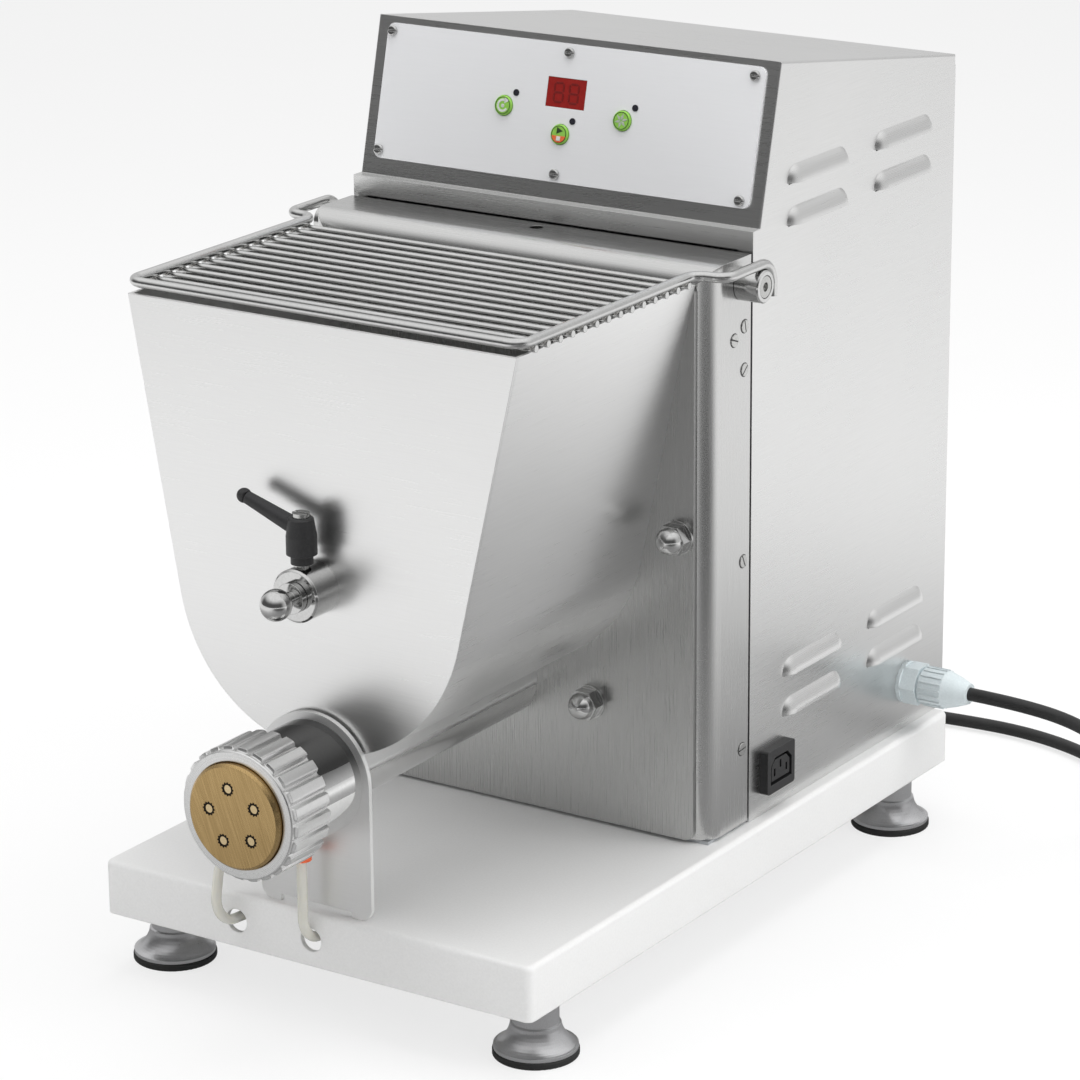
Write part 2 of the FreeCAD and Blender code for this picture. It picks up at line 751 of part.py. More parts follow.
def make_die(lip):
    face = nut_front - die_proud
    profile = [(0, 0), (die_radius - 1.5, 0), (die_radius, 1.5), (die_radius, lip - face + free),
               (die_flange_radius, lip - face + free), (die_flange_radius, jacket_front - face),
               (0, jacket_front - face)]
    die = turned(profile, V(0, face, auger_z), Y_AXIS)
    holes = []
    pins = []
    for x, z in die_hole_places():
        points = []
        for k in range(die_teeth):
            for part, deep in ((-0.30, 0), (-0.18, 1), (0.18, 1), (0.30, 0)):
                angle = 2 * math.pi * (k + part) / die_teeth
                radius = die_hole_radius + deep * die_tooth_depth
                points.append(V(x + radius * math.cos(angle), face - 1, z + radius * math.sin(angle)))
        points.append(points[0])
        holes.append(Part.Face(Part.makePolygon(points)).extrude(V(0, 30, 0)))
        seat = jacket_front - die_seat_depth
        holes.append(rod_y(x, z, die_seat_radius, seat, jacket_front + 1))
        spider = rod_y(x, z, die_seat_radius, seat, jacket_front)
        for k in range(3):
            angle = 2 * math.pi * k / 3
            spider = spider.cut(rod_y(x + 3.6 * math.cos(angle), z + 3.6 * math.sin(angle), 1.2, seat - 1, 0))
        pins.append(spider.fuse(rod_y(x, z, die_pin_radius, face + 0.2, seat)))
    keep("die", die.cut(Part.makeCompound(holes)))
    keep("die_pins", pins)


def fitting_axes():
    """The outward direction of each water fitting, and the point on the jacket where it starts."""
    down = V(0, 0, -1)
    slant = V(-math.sqrt(0.5), 0, -math.sqrt(0.5))
    return [(d, V(hose_right_x, fitting_y, auger_z).add(d * jacket_radius)) for d in (down, slant)]


def make_hoses():
    fittings = []
    rings = []
    starts = []
    for direction, foot in fitting_axes():
        body = Part.makeCylinder(fitting_radius, fitting_length, foot, direction)
        neck = Part.makeCylinder(fitting_radius - 2, jacket_wall, foot.sub(direction * jacket_wall), direction)
        end = foot.add(direction * fitting_length)
        bore = Part.makeCylinder(hose_radius, fitting_length, foot.add(direction * 2), direction)
        fittings.append(body.fuse(neck).cut(bore))
        ring = Part.makeCylinder(fitting_radius + 0.3, ring_length, end, direction)
        rings.append(ring.cut(Part.makeCylinder(hose_radius, 20, end.sub(direction * 5), direction)))
        starts.append(foot.add(direction * 2))
    z = tray_top - hose_drop
    rear = tray_depth - tray_wall - 8
    right = [starts[0], V(hose_right_x, fitting_y, z), V(hose_right_x, rear, z)]
    left = [starts[1], starts[1].add(fitting_axes()[1][0] * hose_left_reach), V(-57, -17, z + 1),
            V(hose_left_x, 24, z), V(hose_left_x, rear, z)]
    hoses = [tube_along(smooth_path(right, [16.0]), hose_radius),
             tube_along(smooth_path(left, [22.0, 15.0, 60.0]), hose_radius)]
    keep("water_hoses", hoses)
    for x in (hose_left_x, hose_right_x):
        body = rod_y(x, z, fitting_radius + 1.5, tray_depth - tray_wall - 8, tray_depth - tray_wall)
        body = body.fuse(rod_y(x, z, fitting_radius - 1.2, tray_depth - tray_wall - 1, tray_depth + nipple_reach))
        body = body.fuse(hex_prism_y(x, z, 15.0, tray_depth, tray_depth + 5))
        fittings.append(body.cut(rod_y(x, z, hose_radius - 1, tray_depth - 6, tray_depth + nipple_reach + 1)))
    keep("hose_fittings", fittings)
    keep("release_rings", rings)


def make_auger():
    flight_radius = tube_radius - tube_wall - auger_clearance
    tail = plate_front - 3
    core = rod_y(0, auger_z, auger_core_radius, auger_front, tail)
    height = tail - 6 - auger_front - 6
    helix = Part.makeHelix(auger_pitch, height, flight_radius)
    inner = auger_core_radius - 1.5
    half = auger_flight / 2
    corners = [V(inner, 0, -half), V(flight_radius, 0, -half), V(flight_radius, 0, half), V(inner, 0, half)]
    corners.append(corners[0])
    flight = Part.Wire(helix).makePipeShell([Part.makePolygon(corners)], True, True)
    flight.Placement = FreeCAD.Placement(V(0, auger_front + 6, auger_z), FreeCAD.Rotation(Z_AXIS, Y_AXIS))
    tang = hex_prism_y(0, auger_z, hex_flat, tail, tail + 1 + hex_depth)
    auger = core.fuse(flight).fuse(rod_y(0, auger_z, flight_radius, tail - 3, tail)).fuse(tang)
    keep("auger", auger.removeSplitter())
    socket = hex_prism_y(0, auger_z, hex_flat + 2 * running, tail, tail + 2 + hex_depth)
    shaft = rod_y(0, auger_z, shaft_radius, tail + 1, wheel_plane[1] + 5)
    shaft = shaft.fuse(rod_y(0, auger_z, shaft_tail_radius, wheel_plane[1] + 5, box_rear + bearing_depth))
    keep("auger_shaft", shaft.cut(socket))


def make_mixer():
    tail = plate_front - 2
    shaft = rod_y(0, mixer_z, paddle_shaft_radius, paddle_front, tail)
    rods = [shaft]
    for side in (0, 1):
        sign = 1 - 2 * side
        front = paddle_rods_front[side]
        rear = paddle_rods_rear[side]
        x = sign * paddle_radius
        path = smooth_path([V(0, front, mixer_z), V(x, front, mixer_z), V(x, rear, mixer_z), V(0, rear, mixer_z)],
                           [14.0, 14.0])
        rods.append(tube_along(path, paddle_rod_radius))
    rods.append(hex_prism_y(0, mixer_z, hex_flat, tail, tail + hex_depth))
    paddle = fuse_all(rods)
    paddle = paddle.cut(rod_y(0, mixer_z, pin_radius + running, paddle_front - 1, pin_reach + 1))
    keep("mixer_paddle", paddle)
    shaft = rod_y(0, mixer_z, shaft_radius, tail + 1, mixer_plane[1] + 5)
    shaft = shaft.fuse(rod_y(0, mixer_z, shaft_tail_radius, mixer_plane[1] + 5, box_rear + bearing_depth))
    keep("mixer_shaft", shaft.cut(hex_prism_y(0, mixer_z, hex_flat + 2 * running, tail, tail + hex_depth + 1)))
    wall = front_wall_y(mixer_height)
    housing = rod_y(0, mixer_z, boss_radius, boss_front, wall + 3).common(front_slab(-60, 0))
    rim = [e for e in housing.Edges if len(e.Vertexes) == 1 and e.BoundBox.YMax < boss_front + 0.1]
    housing = housing.makeChamfer(1.2, rim)
    housing = housing.cut(rod_y(0, mixer_z, pin_radius + running, boss_front - 1, wall + 9))
    housing = housing.cut(rod_z(0, lever_y, stud_radius + running, mixer_z + pin_radius - 2, mixer_z + boss_radius + 2))
    keep("pin_housing", housing)
    neck = boss_front - 1.5
    knob = Part.makeSphere(knob_radius, V(0, knob_y, mixer_z))
    pin = knob.fuse(rod_y(0, mixer_z, 4.2, knob_y, neck - 3))
    pin = pin.fuse(rod_y(0, mixer_z, pin_radius + 3.0, neck - 3, neck + 1.0))
    pin = pin.fuse(rod_y(0, mixer_z, pin_radius, neck, pin_reach))
    keep("mixer_pin", pin.removeSplitter())


def make_lever():
    base = mixer_z + lever_hub_bottom
    top = base + lever_hub_height
    profile = [(0, 0), (6.4, 0), (6.4, 4.5), (lever_hub_radius, 5.5), (lever_hub_radius, 16.0),
               (lever_hub_radius - 1.6, lever_hub_height - 1), (lever_hub_radius - 2.6, lever_hub_height),
               (0, lever_hub_height)]
    hub = turned(profile, V(0, lever_y, base), Z_AXIS)
    start = V(-2, lever_y, base + lever_hub_height - 7)
    end = V(-lever_reach + 4, lever_y, base + lever_hub_height - 7 + lever_rise)
    along = end.sub(start)
    arm = Part.makeCone(5.2, 3.6, along.Length, start, along)
    arm = arm.fuse(Part.makeSphere(4.3, end))
    lever = hub.fuse(arm).cut(rod_z(0, lever_y, stud_radius, base - 1, top + 1)).removeSplitter()
    keep("clamp_lever", lever)
    stud = rod_z(0, lever_y, stud_radius, mixer_z + pin_radius + free, top)
    cap = rod_z(0, lever_y, 4.9, top, top + 2.6)
    cap = cap.cut(box(-5, 5, lever_y - 0.6, lever_y + 0.6, top + 1.4, top + 4))
    keep("lever_stud", stud.fuse(cap).removeSplitter())


def make_plate_fasteners():
    nuts = []
    studs = []
    for x, z in stud_places():
        base = plate_front
        nut = rod_y(x, z, washer_radius, base - washer_height, base)
        nut = nut.fuse(hex_prism_y(x, z, nut_flat, base - washer_height - nut_hex_height, base - washer_height))
        dome_base = base - washer_height - nut_hex_height
        dome_radius = nut_flat / 2 - 0.3
        centre_y = base - nut_total + dome_radius
        nut = nut.fuse(rod_y(x, z, dome_radius, centre_y, dome_base + 1))
        nut = nut.fuse(Part.makeSphere(dome_radius, V(x, centre_y, z)))
        bore = rod_y(x, z, stud_m10, centre_y, base + 1)
        nuts.append(nut.cut(bore).removeSplitter())
        studs.append(rod_y(x, z, stud_m10, centre_y, casing_front + sheet + box_front_plate))
    keep("dome_nuts", nuts)
    keep("plate_studs", studs)


def lay_place():
    return lay_offset, auger_z + lay_distance * math.sin(lay_angle)


def rotor_place():
    x, z = lay_place()
    return x - (lay_wheel_teeth + motor_pinion_teeth) * fine_module / 2, z


def tooth_towards(angle, teeth, gap):
    return angle + (math.pi / teeth if gap else 0.0)


def make_gears():
    up = math.pi / 2
    small = gear_blank(auger_pinion_teeth, gear_module, 0, auger_z, mixer_plane[0], mixer_plane[1], up)
    large = gear_blank(auger_wheel_teeth, gear_module, 0, auger_z, wheel_plane[0], wheel_plane[1], lay_angle)
    hub = rod_y(0, auger_z, shaft_radius + 8, mixer_plane[1], wheel_plane[0])
    cluster = small.fuse(hub).fuse(large)
    cluster = cluster.cut(rod_y(0, auger_z, shaft_radius, 200, 300))
    keep("auger_gears", cluster)
    wheel = gear_blank(mixer_gear_teeth, gear_module, 0, mixer_z, mixer_plane[0], mixer_plane[1],
                       tooth_towards(-up, mixer_gear_teeth, True))
    lightening = []
    for k in range(6):
        angle = math.pi * k / 3
        lightening.append(rod_y(44 * math.cos(angle), mixer_z + 44 * math.sin(angle), 13, 200, 300))
    wheel = wheel.cut(Part.makeCompound(lightening)).cut(rod_y(0, mixer_z, shaft_radius, 200, 300))
    keep("mixer_gear", wheel)
    x, z = lay_place()
    pinion = gear_blank(lay_pinion_teeth, gear_module, x, z, wheel_plane[0], wheel_plane[1],
                        tooth_towards(lay_angle + math.pi, lay_pinion_teeth, True))
    front = casing_front + sheet + box_front_plate - bearing_depth
    lay = rod_y(x, z, lay_shaft_radius, front, box_rear + bearing_depth)
    keep("layshaft", lay.fuse(pinion))
    lay_wheel = gear_blank(lay_wheel_teeth, fine_module, x, z, lay_plane[0], lay_plane[1], math.pi)
    keep("layshaft_gear", lay_wheel.cut(rod_y(x, z, lay_shaft_radius, 200, 300)))
    rx, rz = rotor_place()
    pinion = gear_blank(motor_pinion_teeth, fine_module, rx, rz, lay_plane[0] - 1, lay_plane[1] + 1,
                        tooth_towards(0.0, motor_pinion_teeth, True))
    rear = box_rear + box_cover + motor_length
    shaft = rod_y(rx, rz, rotor_shaft_radius, lay_plane[1] + 1, rear + 8 + fan_width)
    keep("rotor_shaft", shaft.fuse(pinion))


def make_gearbox():
    front = casing_front + sheet
    x, z = lay_place()
    rx, rz = rotor_place()
    left = -(mixer_gear_teeth * gear_module / 2 + gear_module + gear_room)
    right = x + lay_wheel_teeth * fine_module / 2 + fine_module + gear_room
    low = auger_z - auger_wheel_teeth * gear_module / 2 - gear_module - gear_room
    high = mixer_z + mixer_gear_teeth * gear_module / 2 + gear_module + gear_room
    case = box(left - box_wall, right + box_wall, front, box_rear, tray_top + chassis_thickness, high + box_wall)
    case = fillet_where(case, 6.0, lambda e: runs_along(e, Y_AXIS) and e.BoundBox.ZMin > high)
    case = case.cut(box(left, right, front + box_front_plate, box_rear + 1, low, high))
    ear = stud_high[0] + stud_m10 + 1.8
    for px, pz in stud_places()[:2]:
        low_x, high_x = sorted((math.copysign(ear, px), math.copysign(-left, px)))
        case = case.fuse(box(low_x, high_x, front, front + box_front_plate, pz - 14, pz + 14))
    for px, pz in stud_places():
        case = case.cut(rod_y(px, pz, stud_m10, front - 1, front + box_front_plate + 1))
    cover = box(left - box_wall, right + box_wall, box_rear, box_rear + box_cover, tray_top + chassis_thickness,
                high + box_wall)
    cover = fillet_where(cover, 6.0, lambda e: runs_along(e, Y_AXIS) and e.BoundBox.ZMin > high)
    seat = front + box_front_plate - bearing_depth
    bearings = []
    for px, pz, bore, outer in ((0, auger_z, shaft_radius, 22.0), (0, mixer_z, shaft_radius, 22.0),
                                (x, z, lay_shaft_radius, 13.0)):
        case = case.cut(rod_y(px, pz, outer, seat, front + box_front_plate + 1))
        if bore == shaft_radius:
            case = case.cut(rod_y(px, pz, bore + free, front - 1, seat + 1))
        bearings.append(ring_y(px, pz, outer, bore + running, seat, front + box_front_plate))
    for px, pz, bore in ((0, auger_z, shaft_tail_radius), (0, mixer_z, shaft_tail_radius),
                         (x, z, lay_shaft_radius), (rx, rz, rotor_shaft_radius)):
        outer = bore + 7.0
        cover = cover.cut(rod_y(px, pz, outer, box_rear - 1, box_rear + bearing_depth))
        bearings.append(ring_y(px, pz, outer, bore + running, box_rear, box_rear + bearing_depth))
    cover = cover.cut(rod_y(rx, rz, rotor_shaft_radius + free, box_rear, box_rear + box_cover + 1))
    keep("gearbox_case", case)
    keep("gearbox_cover", cover)
    rear = box_rear + box_cover + motor_length
    bearings.append(ring_y(rx, rz, rotor_shaft_radius + 7, rotor_shaft_radius + running, rear - bearing_depth, rear))
    keep("shaft_bearings", bearings)


def make_motor():
    rx, rz = rotor_place()
    front = box_rear + box_cover
    rear = front + motor_length
    casing = rod_y(rx, rz, motor_radius, front, rear)
    fins = []
    for k in range(motor_fins):
        fin = box(motor_radius - 1, motor_radius + 5, front + 8, rear - 8, -1.2, 1.2)
        fin.rotate(V(0, 0, 0), Y_AXIS, 360 * k / motor_fins)
        fin.translate(V(rx, 0, rz))
        fins.append(fin)
    casing = casing.multiFuse(fins)
    casing = casing.cut(rod_y(rx, rz, stator_bore, front + 5, rear - bearing_depth))
    end_room = ring_y(rx, rz, motor_radius - motor_wall, stator_bore - 1, front + 5, front + rotor_front - 4)
    casing = casing.cut(end_room)
    casing = casing.cut(rod_y(rx, rz, rotor_shaft_radius + free, front - 1, front + 6))
    casing = casing.cut(rod_y(rx, rz, rotor_shaft_radius + 7, rear - bearing_depth - 1, rear + 1))
    keep("motor_casing", casing)
    core = rod_y(rx, rz, rotor_radius, front + rotor_front, front + rotor_front + rotor_length)
    keep("rotor_core", core.cut(rod_y(rx, rz, rotor_shaft_radius, front, rear)))
    start = rear + 6
    fan = rod_y(rx, rz, rotor_shaft_radius + 5, start, start + fan_width)
    blades = []
    for k in range(fan_blades):
        blade = box(rotor_shaft_radius + 3, fan_radius, start + 1, start + fan_width - 1, -1.0, 1.0)
        blade.rotate(V(0, 0, 0), Y_AXIS, 360 * k / fan_blades)
        blade.translate(V(rx, 0, rz))
        blades.append(blade)
    disc = rod_y(rx, rz, fan_radius, start, start + 1.6)
    fan = fan.multiFuse(blades + [disc]).cut(rod_y(rx, rz, rotor_shaft_radius, start - 1, start + 40))
    keep("motor_fan", fan.removeSplitter())
    outer = motor_radius + 5
    cowl = rod_y(rx, rz, outer + cowl_wall, rear - 6, rear - 6 + cowl_length)
    cowl = cowl.cut(rod_y(rx, rz, outer, rear - 7, rear - 6 + cowl_length - cowl_wall))
    slots = []
    for k in range(-5, 6):
        half = math.sqrt((outer - 8) ** 2 - (k * 8.0) ** 2)
        slots.append(box(rx - half, rx + half, rear + cowl_length - 10, rear + cowl_length,
                         rz + k * 8 - 2, rz + k * 8 + 2))
    cowl = cowl.cut(Part.makeCompound(slots))
    bridges = box(rx - 2, rx + 2, rear - 6 + cowl_length - cowl_wall, rear - 6 + cowl_length,
                  rz - outer + 3, rz + outer - 3)
    cowl = cowl.fuse(bridges)
    ribs = [box(rx - outer - 0.5, rx - motor_radius, rear - 6, rear, rz - 3, rz + 3),
            box(rx + motor_radius, rx + outer + 0.5, rear - 6, rear, rz - 3, rz + 3)]
    cowl = cowl.multiFuse(ribs).cut(rod_y(rx, rz, motor_radius, rear - 9, rear))
    keep("fan_cowl", cowl.removeSplitter())


def make_panel():
    plate = box(-label_half_width, label_half_width, label_low, label_high, 0, label_thickness)
    plate = fillet_where(plate, label_corner_radius, lambda e: runs_along(e, Z_AXIS))
    x, v = display_centre
    w, h = display_size
    cuts = [box(x - w / 2, x + w / 2, v - h / 2, v + h / 2, -1, 3)]
    for bx, bv in button_places.values():
        cuts.append(rod_z(bx, bv, button_radius + free, -1, 3))
    for lx, lv in lamp_places:
        cuts.append(rod_z(lx, lv, lamp_radius, -1, 3))
    for sx, sv in panel_screw_places:
        cuts.append(rod_z(sx, sv, 1.6, -1, 3))
    keep("label_plate", on_fascia(plate.cut(Part.makeCompound(cuts))))
    window = box(x - w / 2, x + w / 2, v - h / 2, v + h / 2, -board_depth, label_thickness - 0.2)
    keep("display_window", on_fascia(window))
    for name, (bx, bv) in button_places.items():
        cap = rod_z(bx, bv, button_radius, -2.5, label_thickness + button_proud)
        top = [e for e in cap.Edges if e.BoundBox.ZMin > label_thickness + button_proud - 0.1
               and len(e.Vertexes) == 1]
        cap = cap.makeFillet(0.8, top).fuse(rod_z(bx, bv, 2.0, -board_depth + 5.5, -2.5))
        keep(name, on_fascia(cap))
    lamps = [on_fascia(rod_z(lx, lv, lamp_radius, -board_depth, label_thickness + 0.4)) for lx, lv in lamp_places]
    keep("lamp_lenses", lamps)
    screws = []
    for sx, sv in panel_screw_places:
        screw = slotted_screw(panel_screw_radius, 1.9, 1.6, 6.0)
        screw.translate(V(sx, sv, label_thickness))
        screws.append(on_fascia(screw))
    keep("panel_screws", screws)
    board = box(-70, 70, 24, 84, -board_depth - 1.6, -board_depth)
    parts = [board]
    for sx in (-64, 64):
        for sv in (29, 79):
            parts.append(rod_z(sx, sv, 3, -board_depth, -sheet - 2 * free))
    for bx, bv in button_places.values():
        low = -board_depth
        parts.append(box(bx - 4, bx + 4, bv - 4, bv + 4, low, low + 4.5))
    keep("control_board", on_fascia(fuse_all(parts)))


def make_outlet():
    y0 = outlet_front_y
    y1 = outlet_front_y + outlet_length
    z0 = tray_top + outlet_low
    z1 = z0 + outlet_height
    face = half_housing + outlet_proud
    outlet = box(half_housing, face, y0, y1, z0, z1)
    outlet = fillet_where(outlet, 2.0, lambda e: runs_along(e, X_AXIS))
    outlet = outlet.fuse(box(half_housing - outlet_depth, half_housing, y0 + 2, y1 - 2, z0 + 2, z1 - 2))
    cy = (y0 + y1) / 2
    cz = (z0 + z1) / 2
    groove = prism_x([(cy - 12.5, cz - 8.5), (cy + 12.5, cz - 8.5), (cy + 12.5, cz + 3.5), (cy + 7.5, cz + 8.5),
                      (cy - 7.5, cz + 8.5), (cy - 12.5, cz + 3.5)], face - 14, face + 1)
    core = prism_x([(cy - 10.5, cz - 6.5), (cy + 10.5, cz - 6.5), (cy + 10.5, cz + 2.6), (cy + 6.6, cz + 6.5),
                    (cy - 6.6, cz + 6.5), (cy - 10.5, cz + 2.6)], face - 15, face - 0.6)
    outlet = outlet.cut(groove.cut(core))
    for dy, dz in ((-7.0, -1.5), (0.0, 2.4), (7.0, -1.5)):
        outlet = outlet.cut(box(face - 14, face + 1, cy + dy - 1.1, cy + dy + 1.1, cz + dz - 2.6, cz + dz + 2.6))
    keep("outlet_socket", outlet)


def make_gland():
    z = tray_top + gland_height
    x0 = half_housing
    flange = Part.makeCylinder(13.5, 2.5, V(x0, gland_y, z), X_AXIS)
    corner = gland_flat / math.sqrt(3)
    points = [V(x0 + 2.5, gland_y + corner * math.cos(math.radians(60 * k)), z + corner * math.sin(math.radians(60 * k)))
              for k in range(7)]
    body = Part.Face(Part.makePolygon(points)).extrude(V(10.5, 0, 0))
    dome = [(0, 0), (12.0, 0), (12.0, 16.0), (9.6, 24.0), (6.6, gland_reach - 14.5), (0, gland_reach - 14.5)]
    dome = turned(dome, V(x0 + 14.5, gland_y, z), X_AXIS)
    neck = Part.makeCylinder(10.0, 2.0, V(x0 + 12.8, gland_y, z), X_AXIS)
    ribs = []
    for k in range(18):
        rib = box(x0 + 15.5, x0 + 30, -0.5, 0.5, 11.0, 12.7)
        rib.rotate(V(x0, 0, 0), X_AXIS, 20 * k)
        rib.translate(V(0, gland_y, z))
        ribs.append(rib)
    stem = Part.makeCylinder(8.0, 14.0, V(x0 - 14, gland_y, z), X_AXIS)
    nut = Part.makeCylinder(12.5, 5.0, V(x0 - sheet - 5, gland_y, z), X_AXIS)
    gland = flange.multiFuse([body, dome, neck, stem, nut] + ribs)
    gland = gland.cut(rod_x(gland_y, z, cord_radius, x0 - 20, x0 + gland_reach + 5))
    keep("cord_gland", gland)


def cord_route():
    z0 = tray_top + gland_height
    floor = cord_radius + tie_thickness + free
    exit_x = half_housing + gland_reach
    cx, cy = coil_centre
    return [V(exit_x, gland_y, z0), V(228, gland_y, z0), V(256, 470, 85), V(258, 510, 55), V(246, 552, 25),
            V(222, 592, floor + 1.5), V(182, 621, floor), V(132, 634, floor), V(80, 631, floor),
            V(30, cy + coil_outer, floor), V(cx + 2 * cord_radius, cy + coil_outer, floor)]


def make_cord():
    route = cord_route()
    z0 = tray_top + gland_height
    radii = []
    for k in range(1, len(route) - 1):
        before = route[k - 1].sub(route[k])
        after = route[k + 1].sub(route[k])
        half_turn = (math.pi - before.getAngle(after)) / 2
        radii.append(0.45 * min(before.Length, after.Length) / math.tan(half_turn))
    print("cord arc radii", [round(r) for r in radii])
    inside = V(half_housing - 12, gland_y, z0)
    wire = smooth_path(route, radii)
    tube = tube_along(wire, cord_radius)
    print("cord tube volume over section times length",
          round(tube.Volume / (math.pi * cord_radius ** 2 * wire.Length), 5), "length", round(wire.Length))
    stub = Part.makeCylinder(cord_radius, route[0].x - inside.x, inside, X_AXIS)
    keep("cord_tube", tube.fuse(stub).removeSplitter())
    make_coil(route[-1])


def coil_line(turn):
    """A point of the coil's middle line; turn counts turns from where the cord comes in."""
    cx, cy = coil_centre
    floor = cord_radius + tie_thickness + free
    climb_start, climb_end, total = 2.0, 2.5, 4.25
    turn_back = (climb_start + climb_end) / 2
    radius = coil_outer - coil_pitch * (turn_back - abs(turn_back - turn))
    climb = min(1.0, max(0.0, (turn - climb_start) / (climb_end - climb_start)))
    lift = max(0.0, (turn - total + 0.3) / 0.3)
    height = floor + coil_layer * (3 * climb ** 2 - 2 * climb ** 3)
    height += (plug_radius - floor - coil_layer) * (3 * lift ** 2 - 2 * lift ** 3)
    angle = math.pi / 2 + 2 * math.pi * turn
    return V(cx + radius * math.cos(angle), cy + radius * math.sin(angle), height), total


def biarc(p0, t0, p1, t1):
    """Two arcs, tangent to each other and to the two given directions."""
    chord = p1.sub(p0)
    total = t0.add(t1)
    a = 2 * (1 - t0.dot(t1))
    b = 2 * chord.dot(total)
    c = -chord.dot(chord)
    if abs(a) < 1e-9:
        reach = -c / b
    else:
        reach = (-b + math.sqrt(b * b - 4 * a * c)) / (2 * a)
    q0 = p0.add(t0 * reach)
    q1 = p1.sub(t1 * reach)
    joint = (q0 + q1) * 0.5
    arcs = []
    for start, corner, end in ((p0, q0, joint), (joint, q1, p1)):
        before = start.sub(corner)
        after = end.sub(corner)
        half = before.getAngle(after) / 2
        if math.pi / 2 - half < 1e-6:
            arcs.append(Part.LineSegment(start, end).toShape())
            continue
        radius = before.Length * math.tan(half)
        before.normalize()
        after.normalize()
        inward = before.add(after)
        inward.normalize()
        middle = corner.add(inward * (radius / math.sin(half) - radius))
        arcs.append(Part.Arc(start, middle, end).toShape())
    return arcs


def make_coil(entry):
    total = coil_line(0.0)[1]
    steps = int(round(total * 4))
    points = [coil_line(total * k / steps)[0] for k in range(steps + 1)]
    tangents = []
    for k in range(steps + 1):
        here = total * k / steps
        ahead = coil_line(min(total, here + 0.02))[0]
        behind = coil_line(max(0.0, here - 0.02))[0]
        along = ahead.sub(behind)
        along.normalize()
        tangents.append(along)
    tangents[0] = V(-1, 0, 0)
    tangents[-1] = V(tangents[-1].x, tangents[-1].y, 0)
    tangents[-1].normalize()
    edges = [Part.LineSegment(entry, points[0]).toShape()]
    for k in range(steps):
        edges += biarc(points[k], tangents[k], points[k + 1], tangents[k + 1])
    end = points[-1].add(tangents[-1] * 3 * cord_radius)
    edges.append(Part.LineSegment(points[-1], end).toShape())
    wire = Part.Wire(edges)
    coil = tube_along(wire, cord_radius)
    print("coil volume over section times length",
          round(coil.Volume / (math.pi * cord_radius ** 2 * wire.Length), 5), "length", round(wire.Length))
    samples = []
    travelled = 0.0
    for edge in wire.Edges:
        count = max(2, int(edge.Length / 2))
        for k in range(count):
            at = edge.getParameterByLength(edge.Length * k / count)
            samples.append((travelled + edge.Length * k / count, edge.valueAt(at)))
        travelled += edge.Length
    gaps = [samples[i][1].distanceToPoint(samples[j][1]) for i in range(len(samples))
            for j in range(i) if samples[i][0] - samples[j][0] > 60]
    print("least gap of the coil to itself", round(min(gaps) - 2 * cord_radius, 2))
    keep("cord_coil", coil)
    make_tie()
    make_plug(end, tangents[-1])


def make_tie():
    cx, cy = coil_centre
    reach = cord_radius + 3 * coil_gap
    inner = coil_outer - 1.75 * coil_pitch - reach
    outer = coil_outer - 0.75 * coil_pitch + reach
    low = tie_thickness
    high = low + free + 2 * cord_radius + coil_layer + coil_gap
    band = box(cx + inner - tie_thickness, cx + outer + tie_thickness, cy - 6, cy + 6, 0, high + tie_thickness)
    band = fillet_where(band, 3.0, lambda e: runs_along(e, Y_AXIS))
    room = box(cx + inner, cx + outer, cy - 7, cy + 7, low, high)
    room = fillet_where(room, 2.0, lambda e: runs_along(e, Y_AXIS))
    keep("coil_tie", band.cut(room))


def make_plug(start, along):
    profile = [(0, 0), (5.6, 0), (6.0, 18), (9.0, 24), (12.5, 30), (14.0, 44), (plug_radius - 0.5, 50),
               (plug_radius - 0.5, 62), (0, 62)]
    body = turned(profile, start, along)
    side = Z_AXIS.cross(along)
    for sign in (-1, 1):
        foot = start.add(along * 61).add(side * (sign * 9.5))
        body = body.fuse(Part.makeCylinder(2.4, 19, foot, along))
    keep("power_plug", body.removeSplitter())


